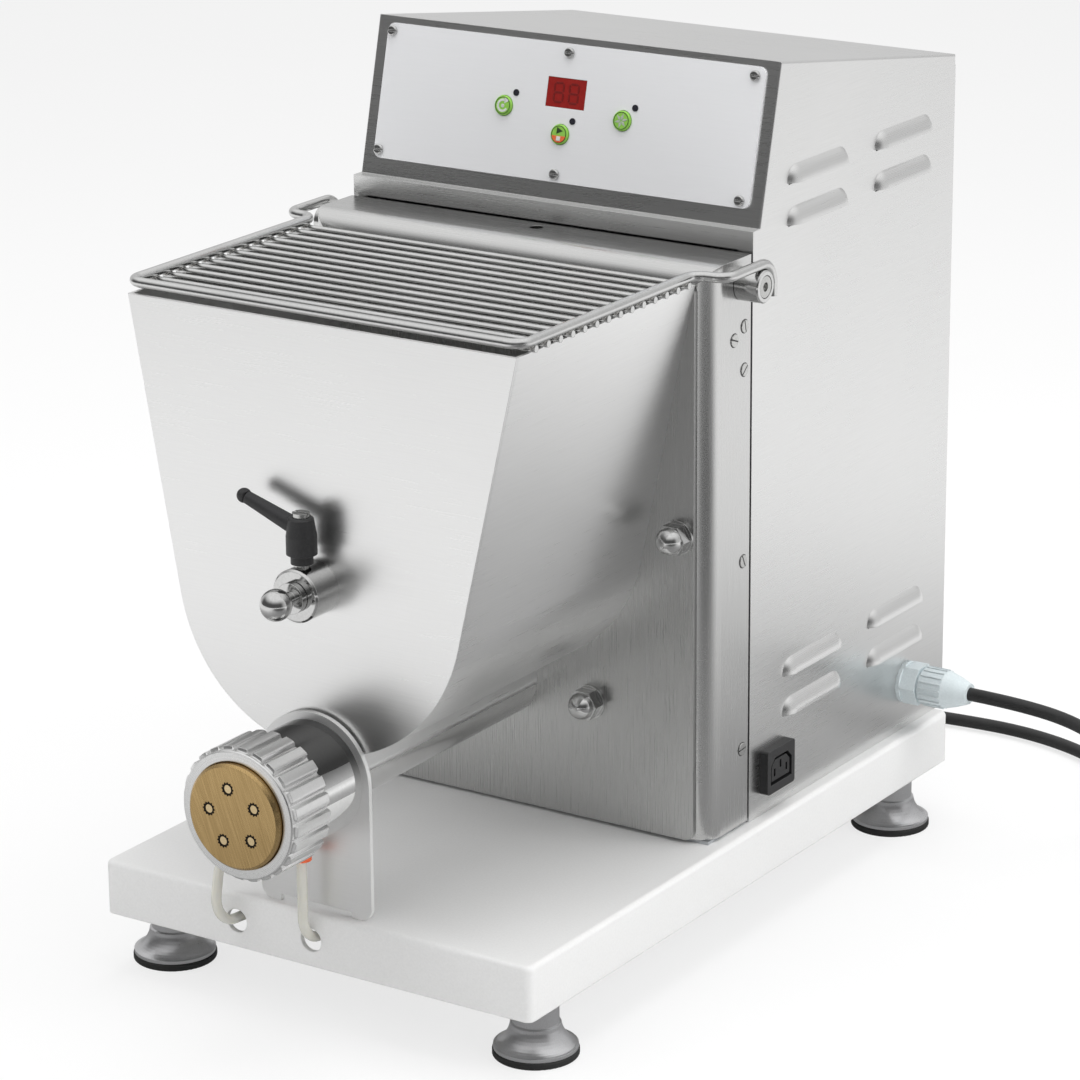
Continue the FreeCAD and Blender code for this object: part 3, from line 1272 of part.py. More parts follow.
def make_grid():
    z = tray_top + grid_height
    reach = grid_side_reach
    low = pivot_z - 8
    back = pivot_y + pivot_radius + grid_wire_radius
    right = [V(reach, back, low), V(reach, back, z), V(reach, grid_inner_rear + 3, z),
             V(grid_half_width, grid_inner_rear, z), V(grid_half_width, grid_front, z)]
    left = [V(-p.x, p.y, p.z) for p in reversed(right)]
    hook = pivot_radius + grid_wire_radius
    frame = tube_along(smooth_path(right + left, [hook, 9.0, 9.0, 9.0, 9.0, 9.0, 9.0, hook]), grid_wire_radius)
    keep("grid_frame", frame)
    rods = []
    for k in range(grid_rods):
        y = grid_first_rod + k * grid_pitch
        drop = z - grid_wire_radius - grid_rod_radius + 0.6
        rods.append(rod_x(y, drop, grid_rod_radius, -grid_half_width - 2.5, grid_half_width + 2.5))
    keep("grid_rods", rods)
    pivots = []
    screws = []
    for side in (-1, 1):
        start = V(side * (half_housing + free), pivot_y, pivot_z)
        pivot = Part.makeCylinder(pivot_radius, pivot_length, start, X_AXIS * side)
        outer_edge = [e for e in pivot.Edges if len(e.Vertexes) == 1
                      and abs(abs(e.BoundBox.XMax) - half_housing - free - pivot_length) < 0.01]
        pivot = pivot.makeChamfer(0.8, outer_edge)
        pivot = pivot.cut(Part.makeCylinder(pivot_screw_radius + running, 40, start.sub(X_AXIS * side), X_AXIS * side))
        recess = start.add(X_AXIS * (side * (pivot_length - 4.5)))
        pivots.append(pivot.cut(Part.makeCylinder(6.8, 9, recess, X_AXIS * side)))
        foot = V(side * (half_housing - sheet - free - frame_thickness), pivot_y, pivot_z)
        length = pivot_length + sheet + 2 * free + frame_thickness - 4.5 + 0.2
        screw = Part.makeCylinder(pivot_screw_radius, length, foot, X_AXIS * side)
        head = foot.add(X_AXIS * (side * length))
        screw = screw.fuse(Part.makeCylinder(6.4, 4.1, head, X_AXIS * side))
        socket = Part.makeCylinder(2.7, 4, head.add(X_AXIS * (side * 2)), X_AXIS * side)
        screws.append(screw.cut(socket))
    keep("grid_pivots", pivots)
    keep("pivot_screws", screws)


make_tray()
make_chassis()
make_housing()
make_rear_cover()
make_screws()
make_casing()
make_hopper()
make_head()
make_hoses()
make_auger()
make_mixer()
make_lever()
make_plate_fasteners()
make_gears()
make_gearbox()
make_motor()
make_panel()
make_outlet()
make_gland()
make_cord()
make_grid()

for name, solids in pieces.items():
    shape = solids[0] if len(solids) == 1 else Part.makeCompound(solids)
    shape = shape.copy()
    shape.translate(V(0, -origin_y, 0))
    for solid in shape.Solids:
        if not solid.isValid():
            print("not valid:", name)
    shape.exportStep("parts/" + name + ".step")
print(len(pieces), "sub-parts; the tray's front edge lies at y =", -origin_y)
print("auger axis z", auger_z, "mixer axis z", mixer_z, "grid pivot z", pivot_z)
print("layshaft", lay_place(), "rotor", rotor_place())
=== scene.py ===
import math
import random

import bmesh
import bpy
from mathutils import Matrix, Vector


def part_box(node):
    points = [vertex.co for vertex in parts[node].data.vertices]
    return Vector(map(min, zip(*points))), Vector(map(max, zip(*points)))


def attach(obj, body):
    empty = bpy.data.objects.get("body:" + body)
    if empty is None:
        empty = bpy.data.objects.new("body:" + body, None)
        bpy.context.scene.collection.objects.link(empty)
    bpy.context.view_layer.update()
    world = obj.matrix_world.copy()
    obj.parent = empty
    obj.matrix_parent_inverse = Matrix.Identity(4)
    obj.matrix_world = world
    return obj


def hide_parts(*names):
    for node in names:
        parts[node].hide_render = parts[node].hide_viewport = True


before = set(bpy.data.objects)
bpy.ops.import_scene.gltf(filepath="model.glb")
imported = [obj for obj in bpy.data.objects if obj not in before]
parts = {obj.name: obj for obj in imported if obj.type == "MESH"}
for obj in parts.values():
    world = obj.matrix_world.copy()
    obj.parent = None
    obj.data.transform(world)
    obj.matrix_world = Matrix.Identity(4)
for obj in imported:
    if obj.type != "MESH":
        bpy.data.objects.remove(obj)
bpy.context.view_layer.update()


# Base tray. A shallow hollow tray that carries the whole machine, folded from
# sheet and powder coated white in a satin finish with a faint orange peel.
# The machine is screwed down on its flat top.

def step(tree, kind, outlet, sockets, **settings):
    """Adds one node, sets or links its sockets and gives back one of its outputs."""
    made = tree.nodes.new("ShaderNode" + kind)
    for key, value in settings.items():
        setattr(made, key, value)
    for key, value in sockets.items():
        if isinstance(value, bpy.types.NodeSocket):
            tree.links.new(value, made.inputs[key])
        else:
            made.inputs[key].default_value = value
    return made.outputs[outlet]


def speckle(tree, size, stretch=(1, 1, 1), detail=3.0):
    """Grains from 0 to 1 of one size in metres, drawn out along the axes by stretch."""
    place = step(tree, "TexCoord", "Object", {})
    scale = [1 / (size * share) for share in stretch]
    place = step(tree, "Mapping", "Vector", {"Vector": place, "Scale": scale})
    return step(tree, "TexNoise", "Fac", {"Vector": place, "Scale": 1.0, "Detail": detail})


def spread(tree, share, low, high):
    """A value between low and high that follows the grains."""
    return step(tree, "MapRange", "Result",
                {"Value": share, "From Min": 0.3, "From Max": 0.7, "To Min": low, "To Max": high})


def tones(tree, share, dark, light):
    """A colour between two tones that follows the grains."""
    ramp = tree.nodes.new("ShaderNodeValToRGB")
    ramp.color_ramp.elements[0].position = 0.3
    ramp.color_ramp.elements[0].color = (*dark, 1)
    ramp.color_ramp.elements[1].position = 0.7
    ramp.color_ramp.elements[1].color = (*light, 1)
    tree.links.new(share, ramp.inputs["Fac"])
    return ramp.outputs["Color"]


def over(tree, mask, under, top):
    """One colour laid over another where the mask is 1."""
    return step(tree, "Mix", 2, {0: mask, 6: under, 7: top}, data_type="RGBA")


def make_finish(name, dark, light, rough, grain, relief, metallic=0.0, stretch=(1, 1, 1),
                side_stretch=None, cloud=0.07, edge=None, round_off=0.0005, fine_share=0.6):
    """A finish with grain, slow clouds, grain relief, and rubbed edges where edge is given."""
    finish = bpy.data.materials.new(name)
    finish.use_nodes = True
    tree = finish.node_tree
    shader = tree.nodes["Principled BSDF"]
    shader.inputs["Metallic"].default_value = metallic
    fine = speckle(tree, grain, stretch)
    if side_stretch:
        facing = step(tree, "TexCoord", "Normal", {})
        facing = step(tree, "SeparateXYZ", "X", {"Vector": facing})
        facing = step(tree, "Math", "Value", {0: facing}, operation="ABSOLUTE")
        facing = step(tree, "Math", "Value", {0: facing, 1: 0.7}, operation="GREATER_THAN")
        side = speckle(tree, grain, side_stretch)
        fine = step(tree, "Mix", 0, {0: facing, 2: fine, 3: side}, data_type="FLOAT")
    broad = speckle(tree, cloud, detail=2.0)
    share = step(tree, "Mix", 0, {0: fine_share, 2: broad, 3: fine}, data_type="FLOAT")
    colour = tones(tree, share, dark, light)
    roughness = spread(tree, share, *rough)
    rounded = step(tree, "Bevel", "Normal", {"Radius": round_off}, samples=4)
    if edge:
        rubbed_from = 0.995
        rubbed_to = 0.85
        rubbed_share = 0.8
        flat = step(tree, "NewGeometry", "Normal", {})
        sharp = step(tree, "VectorMath", "Value", {0: rounded, 1: flat}, operation="DOT_PRODUCT")
        sharp = step(tree, "MapRange", "Result",
                     {"Value": sharp, "From Min": rubbed_from, "From Max": rubbed_to,
                      "To Min": 0.0, "To Max": rubbed_share})
        colour = over(tree, sharp, colour, (*edge, 1))
    normal = step(tree, "Bump", "Normal",
                  {"Height": fine, "Strength": 0.5, "Distance": relief, "Normal": rounded})
    tree.links.new(colour, shader.inputs["Base Color"])
    tree.links.new(roughness, shader.inputs["Roughness"])
    tree.links.new(normal, shader.inputs["Normal"])
    return finish


def dress(finish, *names):
    """Gives built pieces of the frame their finish."""
    for name in names:
        for place in parts[name].material_slots:
            place.material = finish


tray_coat = make_finish("white_powder_coat", (0.77, 0.77, 0.765), (0.83, 0.83, 0.825), (0.30, 0.40),
                        0.0014, 0.00003, cloud=0.12, edge=(0.88, 0.88, 0.875), round_off=0.0012)
tray_coat.node_tree.nodes["Principled BSDF"].inputs["Coat Weight"].default_value = 0.15
tray_coat.node_tree.nodes["Principled BSDF"].inputs["Coat Roughness"].default_value = 0.2
dress(tray_coat, "base_tray")


# Feet. Four turned legs with a bell at the bottom, coated in grey with metal
# flakes, each pressed into a ring of black rubber that grips the table.
# Their studs screw up into the tray.

foot_coat = make_finish("grey_flake_coat", (0.54, 0.54, 0.55), (0.66, 0.66, 0.67), (0.26, 0.36),
                        0.0006, 0.000008, metallic=0.9, edge=(0.62, 0.62, 0.63))
foot_rubber = make_finish("foot_rubber", (0.012, 0.012, 0.012), (0.028, 0.028, 0.028), (0.55, 0.75),
                          0.0011, 0.00008, edge=(0.05, 0.05, 0.05))
dress(foot_coat, "foot_posts")
dress(foot_rubber, "foot_pads")


# Chassis. A plate with two uprights that stands on the tray and carries the
# gearbox and the front casing. Bare galvanised sheet with its crystals, and
# the zinc plated studs that hold the hopper.

zinc_sheet = make_finish("galvanised_sheet", (0.42, 0.44, 0.46), (0.62, 0.64, 0.66), (0.35, 0.55),
                         0.0012, 0.00002, metallic=0.9, cloud=0.018, fine_share=0.3)
crystals_per_metre = 110.0
zinc_tree = zinc_sheet.node_tree
crystal_place = step(zinc_tree, "TexCoord", "Object", {})
crystals = step(zinc_tree, "TexVoronoi", "Distance",
                {"Vector": crystal_place, "Scale": crystals_per_metre})
crystal_tone = tones(zinc_tree, crystals, (0.46, 0.48, 0.50), (0.66, 0.68, 0.70))
zinc_tree.links.new(crystal_tone, zinc_tree.nodes["Principled BSDF"].inputs["Base Color"])
zinc_plate = make_finish("zinc_plating", (0.50, 0.51, 0.52), (0.66, 0.67, 0.68), (0.22, 0.34),
                         0.0008, 0.00001, metallic=1.0)
dress(zinc_sheet, "chassis")
dress(zinc_plate, "plate_studs")


# Housing. One folded sheet of stainless steel, brushed along its length, with
# pressed louvres near the top and foot of each side, and a cover at the back.
# Slotted screws hold the cover and the sides.

housing_steel = make_finish("brushed_housing_steel", (0.74, 0.74, 0.735), (0.82, 0.82, 0.815),
                            (0.25, 0.33),
                            0.0005, 0.0000012, metallic=1.0, stretch=(70, 1, 1), side_stretch=(1, 70, 1),
                            cloud=0.16, edge=(0.90, 0.90, 0.895))
cover_steel = make_finish("brushed_cover_steel", (0.76, 0.76, 0.755), (0.84, 0.84, 0.835),
                          (0.26, 0.34),
                          0.0005, 0.0000012, metallic=1.0, stretch=(1, 1, 70), cloud=0.16,
                          edge=(0.72, 0.72, 0.715))
screw_steel = make_finish("screw_steel", (0.48, 0.48, 0.47), (0.66, 0.66, 0.65), (0.18, 0.30),
                          0.0007, 0.00002, metallic=1.0, edge=(0.80, 0.80, 0.79), round_off=0.0003)
dress(housing_steel, "housing_shell")
dress(cover_steel, "rear_cover")
dress(screw_steel, "cover_screws")


# Gearbox and shafts. A cast alloy case with its cover closes the gears in.
# The gears and shafts are machined steel with a film of oil, and the shafts
# turn in plain bearings pressed into the case.

cast_alloy = make_finish("cast_alloy", (0.40, 0.40, 0.41), (0.56, 0.56, 0.57), (0.45, 0.62),
                         0.0015, 0.00012, metallic=0.85, cloud=0.03, edge=(0.68, 0.68, 0.69))
gear_steel = make_finish("oiled_gear_steel", (0.30, 0.29, 0.27), (0.46, 0.45, 0.43), (0.16, 0.30),
                         0.0007, 0.00001, metallic=1.0, stretch=(1, 12, 1), cloud=0.02,
                         edge=(0.62, 0.61, 0.59), round_off=0.0003)
bearing_bronze = make_finish("bearing_bronze", (0.36, 0.24, 0.12), (0.50, 0.34, 0.18), (0.30, 0.45),
                             0.0008, 0.00002, metallic=1.0, edge=(0.62, 0.45, 0.26))
dress(cast_alloy, "gearbox_case", "gearbox_cover", "motor_casing")
dress(gear_steel, "auger_shaft", "auger_gears", "mixer_shaft", "mixer_gear", "layshaft", "layshaft_gear",
      "rotor_shaft")
dress(bearing_bronze, "shaft_bearings")


# Motor. A cast casing with cooling fins, a rotor packed from thin iron
# sheets, a black fan on the rear end of its shaft, and a painted cowl with
# slots over the fan.

rotor_iron = make_finish("rotor_sheets", (0.22, 0.21, 0.20), (0.36, 0.35, 0.34), (0.35, 0.5),
                         0.0006, 0.00005, metallic=0.9, stretch=(60, 1, 60), cloud=0.02)
fan_plastic = make_finish("fan_plastic", (0.018, 0.018, 0.019), (0.035, 0.035, 0.036), (0.40, 0.55),
                          0.0012, 0.00004, edge=(0.07, 0.07, 0.07))
cowl_paint = make_finish("cowl_paint", (0.14, 0.16, 0.18), (0.20, 0.22, 0.24), (0.38, 0.5),
                         0.0016, 0.00006, edge=(0.30, 0.32, 0.34))
dress(rotor_iron, "rotor_core")
dress(fan_plastic, "motor_fan")
dress(cowl_paint, "fan_cowl")


# Front casing. A pressed steel pan with round corners between the hopper and
# the housing, brushed up and down, screwed to the uprights from both sides.
# It covers the gearbox and carries the grid's pivots.

casing_steel = make_finish("brushed_casing_steel", (0.60, 0.60, 0.595), (0.69, 0.69, 0.685),
                           (0.22, 0.30),
                           0.0005, 0.0000012, metallic=1.0, stretch=(70, 1, 1), side_stretch=(1, 1, 70),
                           cloud=0.13, edge=(0.74, 0.74, 0.735))
dress(casing_steel, "front_casing")


def new_piece(name, mesh, finish, body, place=None, smooth=True, crease=None):
    """Turns a worked mesh into a piece that rides on a body of the machine."""
    bmesh.ops.recalc_face_normals(mesh, faces=mesh.faces)
    data = bpy.data.meshes.new(name)
    mesh.to_mesh(data)
    mesh.free()
    if place:
        data.transform(place)
    if smooth:
        data.shade_smooth()
    if crease:
        data.set_sharp_from_angle(angle=math.radians(crease))
    piece = bpy.data.objects.new(name, data)
    bpy.context.scene.collection.objects.link(piece)
    data.materials.append(finish)
    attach(piece, body)
    return piece


# The countersink round each casing screw and the slot in its head lie in
# shade, painted here as dark rings and slot marks. Places are along y and z on both sides.
seam_painted_shade = make_finish("screw_seam_shadow", (0.030, 0.030, 0.030), (0.070, 0.070, 0.070),
                        (0.5, 0.7), 0.0006, 0.000002)
casing_screws = ((0.0265, 0.3800, 12), (0.0150, 0.3740, 70), (0.0265, 0.3540, 130), (0.0265, 0.2375, 25),
                 (0.0265, 0.1200, 95))
casing_side = 0.141
head_rim = (0.0038, 0.0043)
head_top = 0.00072
slot_half = (0.0036, 0.00042)
seam_rise = 0.00006
seam_steps = 32
seams = bmesh.new()
for side in (-1, 1):
    rim_x = side * (casing_side + seam_rise)
    for screw_y, screw_z, spin in casing_screws:
        ring = []
        for k in range(seam_steps):
            angle = 2 * math.pi * k / seam_steps
            y_share = math.cos(angle)
            z_share = math.sin(angle)
            ring.append([seams.verts.new((rim_x, screw_y + reach * y_share, screw_z + reach * z_share))
                         for reach in head_rim])
        for k in range(seam_steps):
            after = (k + 1) % seam_steps
            seams.faces.new((ring[k][0], ring[after][0], ring[after][1], ring[k][1]))
        slot_angle = math.radians(90 + spin)
        corners = []
        for along, across in ((-1, -1), (1, -1), (1, 1), (-1, 1)):
            run = along * slot_half[0]
            aside = across * slot_half[1]
            corner_y = screw_y + run * math.cos(slot_angle) - aside * math.sin(slot_angle)
            corner_z = screw_z + run * math.sin(slot_angle) + aside * math.cos(slot_angle)
            corners.append(seams.verts.new((side * (casing_side + head_top), corner_y, corner_z)))
        seams.faces.new(corners)
screw_seams_painted_shade = new_piece("casing_screw_seams", seams, seam_painted_shade, "root", smooth=False)


# Hopper. A trough of stainless sheet with a leaning front wall, welded to a
# thicker back plate. Four domed nuts on the studs hold the plate to the
# casing. The sheet is brushed along and the front wall across.

hopper_steel = make_finish("brushed_hopper_steel", (0.88, 0.88, 0.875), (0.94, 0.94, 0.935),
                           (0.26, 0.34),
                           0.0005, 0.0000012, metallic=1.0, stretch=(70, 1, 1), side_stretch=(1, 70, 1),
                           cloud=0.14, edge=(0.95, 0.95, 0.945))
polished_steel = make_finish("polished_steel", (0.56, 0.56, 0.555), (0.68, 0.68, 0.675),
                             (0.07, 0.14),
                             0.0010, 0.000008, metallic=1.0, cloud=0.05, edge=(0.82, 0.82, 0.815),
                             round_off=0.0004)
# The back plate's darker tone is painted shade: it stands for the shadowed tray under the hopper that
# the plate mirrors.
plate_steel_painted_shade = make_finish("brushed_plate_steel", (0.50, 0.50, 0.495), (0.58, 0.58, 0.575),
                          (0.24, 0.32),
                          0.0005, 0.0000012, metallic=1.0, stretch=(1, 1, 70), cloud=0.14,
                          edge=(0.74, 0.74, 0.735))
dress(hopper_steel, "hopper_shell", "hopper_front")
dress(plate_steel_painted_shade, "hopper_back_plate")
dress(polished_steel, "dome_nuts")


# Screw and mixing paddle. Both are cast in stainless steel and polished for
# food. The paddle's bent rods are welded to its shaft, and a six-sided end
# couples each of them to its drive.

food_steel = make_finish("food_steel", (0.50, 0.50, 0.49), (0.64, 0.64, 0.63), (0.16, 0.26),
                         0.0012, 0.00002, metallic=1.0, cloud=0.03, edge=(0.76, 0.76, 0.75))
dress(food_steel, "auger", "mixer_paddle")


# Extrusion tube and bracket. The tube carries the dough from the trough to
# the die, and a brushed plate stands under its front end on the tray. The
# plate is of bright sheet like the hopper's, with its grain across, and part
# of its light tone is a painted reflection of the floor.

tube_steel = make_finish("brushed_tube_steel", (0.60, 0.60, 0.595), (0.70, 0.70, 0.695),
                         (0.18, 0.26),
                         0.0005, 0.0000012, metallic=1.0, stretch=(1, 1, 70), cloud=0.1,
                         edge=(0.76, 0.76, 0.755))
bracket_steel_with_painted_reflection = make_finish("brushed_bracket_steel", (0.90, 0.90, 0.895), (0.95, 0.95, 0.945),
                            (0.34, 0.44),
                            0.0005, 0.0000012, metallic=0.85, stretch=(70, 1, 1), cloud=0.1,
                            edge=(0.95, 0.95, 0.945))
dress(tube_steel, "extrusion_tube")
dress(bracket_steel_with_painted_reflection, "front_bracket")


# Cooling jacket and ring nut. The jacket is a mirror polished sleeve with
# water in its wall. The nut is turned from light alloy with flutes round it,
# and its face keeps the fine rings of the lathe tool.

jacket_steel = make_finish("mirror_steel", (0.84, 0.84, 0.835), (0.92, 0.92, 0.915), (0.03, 0.08),
                           0.002, 0.000006, metallic=1.0, cloud=0.06, edge=(0.85, 0.85, 0.845))
# The mirror of its upper side holds the dark underside of the hopper, which
# is given here as a darker tone that fades out round the sleeve.
shade_from = 0.05
shade_to = 0.62
shade_depth = 0.90
shade_tone = (0.030, 0.030, 0.030, 1)
jacket_tree = jacket_steel.node_tree
jacket_shader = jacket_tree.nodes["Principled BSDF"]
jacket_facing = step(jacket_tree, "TexCoord", "Normal", {})
jacket_upward = step(jacket_tree, "SeparateXYZ", "Z", {"Vector": jacket_facing})
jacket_shade = step(jacket_tree, "MapRange", "Result",
                    {"Value": jacket_upward, "From Min": shade_from, "From Max": shade_to,
                     "To Min": 0.0, "To Max": shade_depth},
                    interpolation_type="SMOOTHSTEP")
jacket_tone = jacket_shader.inputs["Base Color"].links[0].from_socket
jacket_tree.links.new(over(jacket_tree, jacket_shade, jacket_tone, shade_tone),
                      jacket_shader.inputs["Base Color"])
dress(jacket_steel, "cooling_jacket")


def turned_rings(finish, centre_x, centre_z, pitch, depth):
    """Adds the fine rings that a lathe leaves about an axis along y."""
    tree = finish.node_tree
    place = step(tree, "TexCoord", "Object", {})
    place = step(tree, "VectorMath", "Vector", {0: place, 1: (centre_x, 0, centre_z)},
                 operation="SUBTRACT")
    place = step(tree, "VectorMath", "Vector", {0: place, 1: (1, 0, 1)}, operation="MULTIPLY")
    radius = step(tree, "VectorMath", "Value", {0: place}, operation="LENGTH")
    radius = step(tree, "Math", "Value", {0: radius, 1: 1 / pitch}, operation="MULTIPLY")
    ring_place = step(tree, "CombineXYZ", "Vector", {"X": radius})
    rings = step(tree, "TexNoise", "Fac", {"Vector": ring_place, "Scale": 1.0, "Detail": 2.0})
    shader = tree.nodes["Principled BSDF"]
    old = shader.inputs["Normal"].links[0].from_socket
    normal = step(tree, "Bump", "Normal",
                  {"Height": rings, "Strength": 0.6, "Distance": depth, "Normal": old})
    tree.links.new(normal, shader.inputs["Normal"])
    tree.links.new(spread(tree, rings, 0.22, 0.40), shader.inputs["Roughness"])


nut_low, nut_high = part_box("ring_nut")
nut_axis_z = (nut_low.z + nut_high.z) / 2
nut_alloy = make_finish("turned_nut_alloy", (0.78, 0.78, 0.775), (0.88, 0.88, 0.875), (0.22, 0.34),
                        0.001, 0.00001, metallic=1.0, cloud=0.05, edge=(0.82, 0.82, 0.815))
turned_rings(nut_alloy, 0.0, nut_axis_z, 0.0005, 0.00001)
nut_radius = nut_high.x
nut_face_radius = nut_radius - 0.0019
nut_chamfer = 0.0007
nut_flutes = 24
flute_depth = 0.0024
flute_share = 0.42
flute_start = 0.0026
nut_bore = 0.0313
nut_back_bore = 0.0343
nut_lip_depth = 0.0045
nut_bore_chamfer = 0.0004
nut_edge = 0.0006
nut_crest = 0.0002
points_per_flute = 12


def flute_radius(share, depth=flute_depth):
    """The nut's outside at one share of a flute's pitch: a flat crest, then a round valley."""
    if share > flute_share:
        return nut_radius
    return nut_radius - depth * math.sin(math.pi * share / flute_share) ** 0.6


nut_mesh = bmesh.new()
nut_rows = [(nut_lip_depth, lambda share: nut_back_bore), (nut_lip_depth, lambda share: nut_bore),
            (nut_bore_chamfer, lambda share: nut_bore), (0.0, lambda share: nut_bore + nut_bore_chamfer),
            (0.0, lambda share: nut_face_radius - nut_chamfer),
            (nut_chamfer, lambda share: nut_face_radius),
            (flute_start, lambda share: min(nut_face_radius + nut_crest, flute_radius(share))),
            (flute_start + nut_edge, flute_radius),
            (nut_high.y - nut_low.y - nut_edge, flute_radius),
            (nut_high.y - nut_low.y, lambda share: flute_radius(share) - nut_edge),
            (nut_high.y - nut_low.y, lambda share: nut_back_bore)]
nut_loops = []
for depth, reach in nut_rows:
    loop = []
    for k in range(nut_flutes * points_per_flute):
        angle = 2 * math.pi * k / (nut_flutes * points_per_flute)
        radius = reach((k % points_per_flute) / points_per_flute)
        loop.append(nut_mesh.verts.new((radius * math.cos(angle), nut_low.y + depth,
                                        nut_axis_z + radius * math.sin(angle))))
    nut_loops.append(loop)
for first, second in zip(nut_loops, nut_loops[1:] + nut_loops[:1]):
    for k in range(len(first)):
        after = (k + 1) % len(first)
        nut_mesh.faces.new((first[k], first[after], second[after], second[k]))


fluted_nut = new_piece("fluted_ring_nut", nut_mesh, nut_alloy, "ring_nut", crease=32)
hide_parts("ring_nut")


# Die. A round of brass with five toothed holes, a pin in the middle of each,
# so that the dough leaves as ribbed tubes. Its face is brushed slantwise, and
# the shade in its holes is painted dark.

die_brass = make_finish("brushed_die_brass", (0.50, 0.35, 0.13), (0.66, 0.49, 0.21), (0.22, 0.36),
                        0.0007, 0.000015, metallic=1.0, stretch=(1, 1, 1), cloud=0.02,
                        edge=(0.78, 0.62, 0.32), round_off=0.0003)
slant = math.radians(110)
scratches_per_metre = (40, 1400, 1400)
scratch_tree = die_brass.node_tree
scratch_place = step(scratch_tree, "TexCoord", "Object", {})
scratch_place = step(scratch_tree, "Mapping", "Vector",
                     {"Vector": scratch_place, "Rotation": (0, slant, 0)})
scratch_place = step(scratch_tree, "Mapping", "Vector",
                     {"Vector": scratch_place, "Scale": scratches_per_metre})
scratches = step(scratch_tree, "TexNoise", "Fac", {"Vector": scratch_place, "Scale": 1.0, "Detail": 3.0})
brass_shader = scratch_tree.nodes["Principled BSDF"]
brass_normal = step(scratch_tree, "Bump", "Normal",
                    {"Height": scratches, "Strength": 0.5, "Distance": 0.00002,
                     "Normal": brass_shader.inputs["Normal"].links[0].from_socket})
scratch_tree.links.new(brass_normal, brass_shader.inputs["Normal"])
scratch_tree.links.new(tones(scratch_tree, scratches, (0.46, 0.31, 0.135), (0.63, 0.44, 0.205)),
                       brass_shader.inputs["Base Color"])
pin_brass = make_finish("turned_pin_brass", (0.72, 0.55, 0.30), (0.86, 0.68, 0.42), (0.14, 0.26),
                        0.0006, 0.00001, metallic=1.0, cloud=0.02, edge=(0.82, 0.66, 0.36),
                        round_off=0.0002)
dress(die_brass, "die")
dress(pin_brass, "die_pins")


# Round each pin the hole lies in shade, which is painted as dark rings. These
# lie a hair in front of the die's face and cover the teeth cut into it.
hole_painted_shade = make_finish("painted_hole_shade_brass", (0.008, 0.006, 0.004), (0.018, 0.013, 0.008), (0.5, 0.7),
                        0.0006, 0.00001)
hole_painted_shade.node_tree.nodes["Principled BSDF"].inputs["Specular IOR Level"].default_value = 0.1
die_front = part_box("die")[0].y
hole_circle = 0.0166
hole_inner = 0.0025
hole_outer = 0.0042
tooth_depth = 0.0008
hole_count = 5
hole_start = math.radians(-10.5)
ring_rise = 0.00006
hole_steps = 48
teeth_per_hole = 12
hole_rings = bmesh.new()
for hole in range(hole_count):
    hole_angle = hole_start + 2 * math.pi * hole / hole_count
    hole_x = hole_circle * math.sin(hole_angle)
    hole_z = nut_axis_z + hole_circle * math.cos(hole_angle)
    inside = []
    outside = []
    for k in range(hole_steps):
        angle = 2 * math.pi * k / hole_steps
        tooth = 0.5 + 0.5 * math.cos(teeth_per_hole * angle)
        reach = hole_outer - tooth_depth * (1 - tooth)
        inside.append(hole_rings.verts.new((hole_x + hole_inner * math.cos(angle), die_front - ring_rise,
                                            hole_z + hole_inner * math.sin(angle))))
        outside.append(hole_rings.verts.new((hole_x + reach * math.cos(angle), die_front - ring_rise,
                                             hole_z + reach * math.sin(angle))))
    for k in range(hole_steps):
        after = (k + 1) % hole_steps
        hole_rings.faces.new((inside[k], inside[after], outside[after], outside[k]))
hole_shade_rings_painted = new_piece("painted_die_hole_shade", hole_rings, hole_painted_shade, "root", smooth=False)


# Water fittings and hoses. Nickel plated push-in fittings with orange
# release rings hold two milky hoses, which run through the holes in the
# tray's front lip and under the tray to nipples at the back.

nickel = make_finish("nickel_plating", (0.50, 0.48, 0.44), (0.66, 0.64, 0.60), (0.14, 0.24),
                     0.0008, 0.00001, metallic=1.0, edge=(0.80, 0.78, 0.74), round_off=0.0003)
release_orange = make_finish("release_ring_plastic", (0.72, 0.10, 0.03), (0.85, 0.16, 0.05),
                             (0.32, 0.45), 0.0012, 0.00002, edge=(0.90, 0.28, 0.14))
hose_milk = make_finish("milky_hose", (0.78, 0.77, 0.70), (0.84, 0.83, 0.77), (0.20, 0.28),
                        0.0040, 0.000004, stretch=(1, 1, 3), cloud=0.03)
hose_shader = hose_milk.node_tree.nodes["Principled BSDF"]
hose_shader.inputs["Subsurface Weight"].default_value = 0.35
hose_shader.inputs["Subsurface Radius"].default_value = (0.004, 0.0038, 0.003)
hose_shader.inputs["Subsurface Scale"].default_value = 0.6
hose_shader.inputs["Transmission Weight"].default_value = 0.25
dress(nickel, "hose_fittings")
dress(release_orange, "release_rings")
dress(hose_milk, "water_hoses")


# Pin housing, mixer pin and clamp lever. A polished boss on the hopper front
# guides the pin on which the paddle turns. The pin has a ball to pull it by,
# and a black lever with a steel stud clamps it.

lever_plastic = make_finish("matte_lever_plastic", (0.016, 0.016, 0.017), (0.034, 0.034, 0.035),
                            (0.42, 0.58),
                            0.0009, 0.00005, edge=(0.085, 0.085, 0.085), round_off=0.0008)
dress(polished_steel, "pin_housing", "mixer_pin")
dress(screw_steel, "lever_stud")
dress(lever_plastic, "clamp_lever")


# Safety grid. A bent frame of polished wire with thinner cross rods welded
# under it. Its ends are welded to two sleeves that turn on socket screws in
# the casing, and a bead of weld sits at each end of each rod.

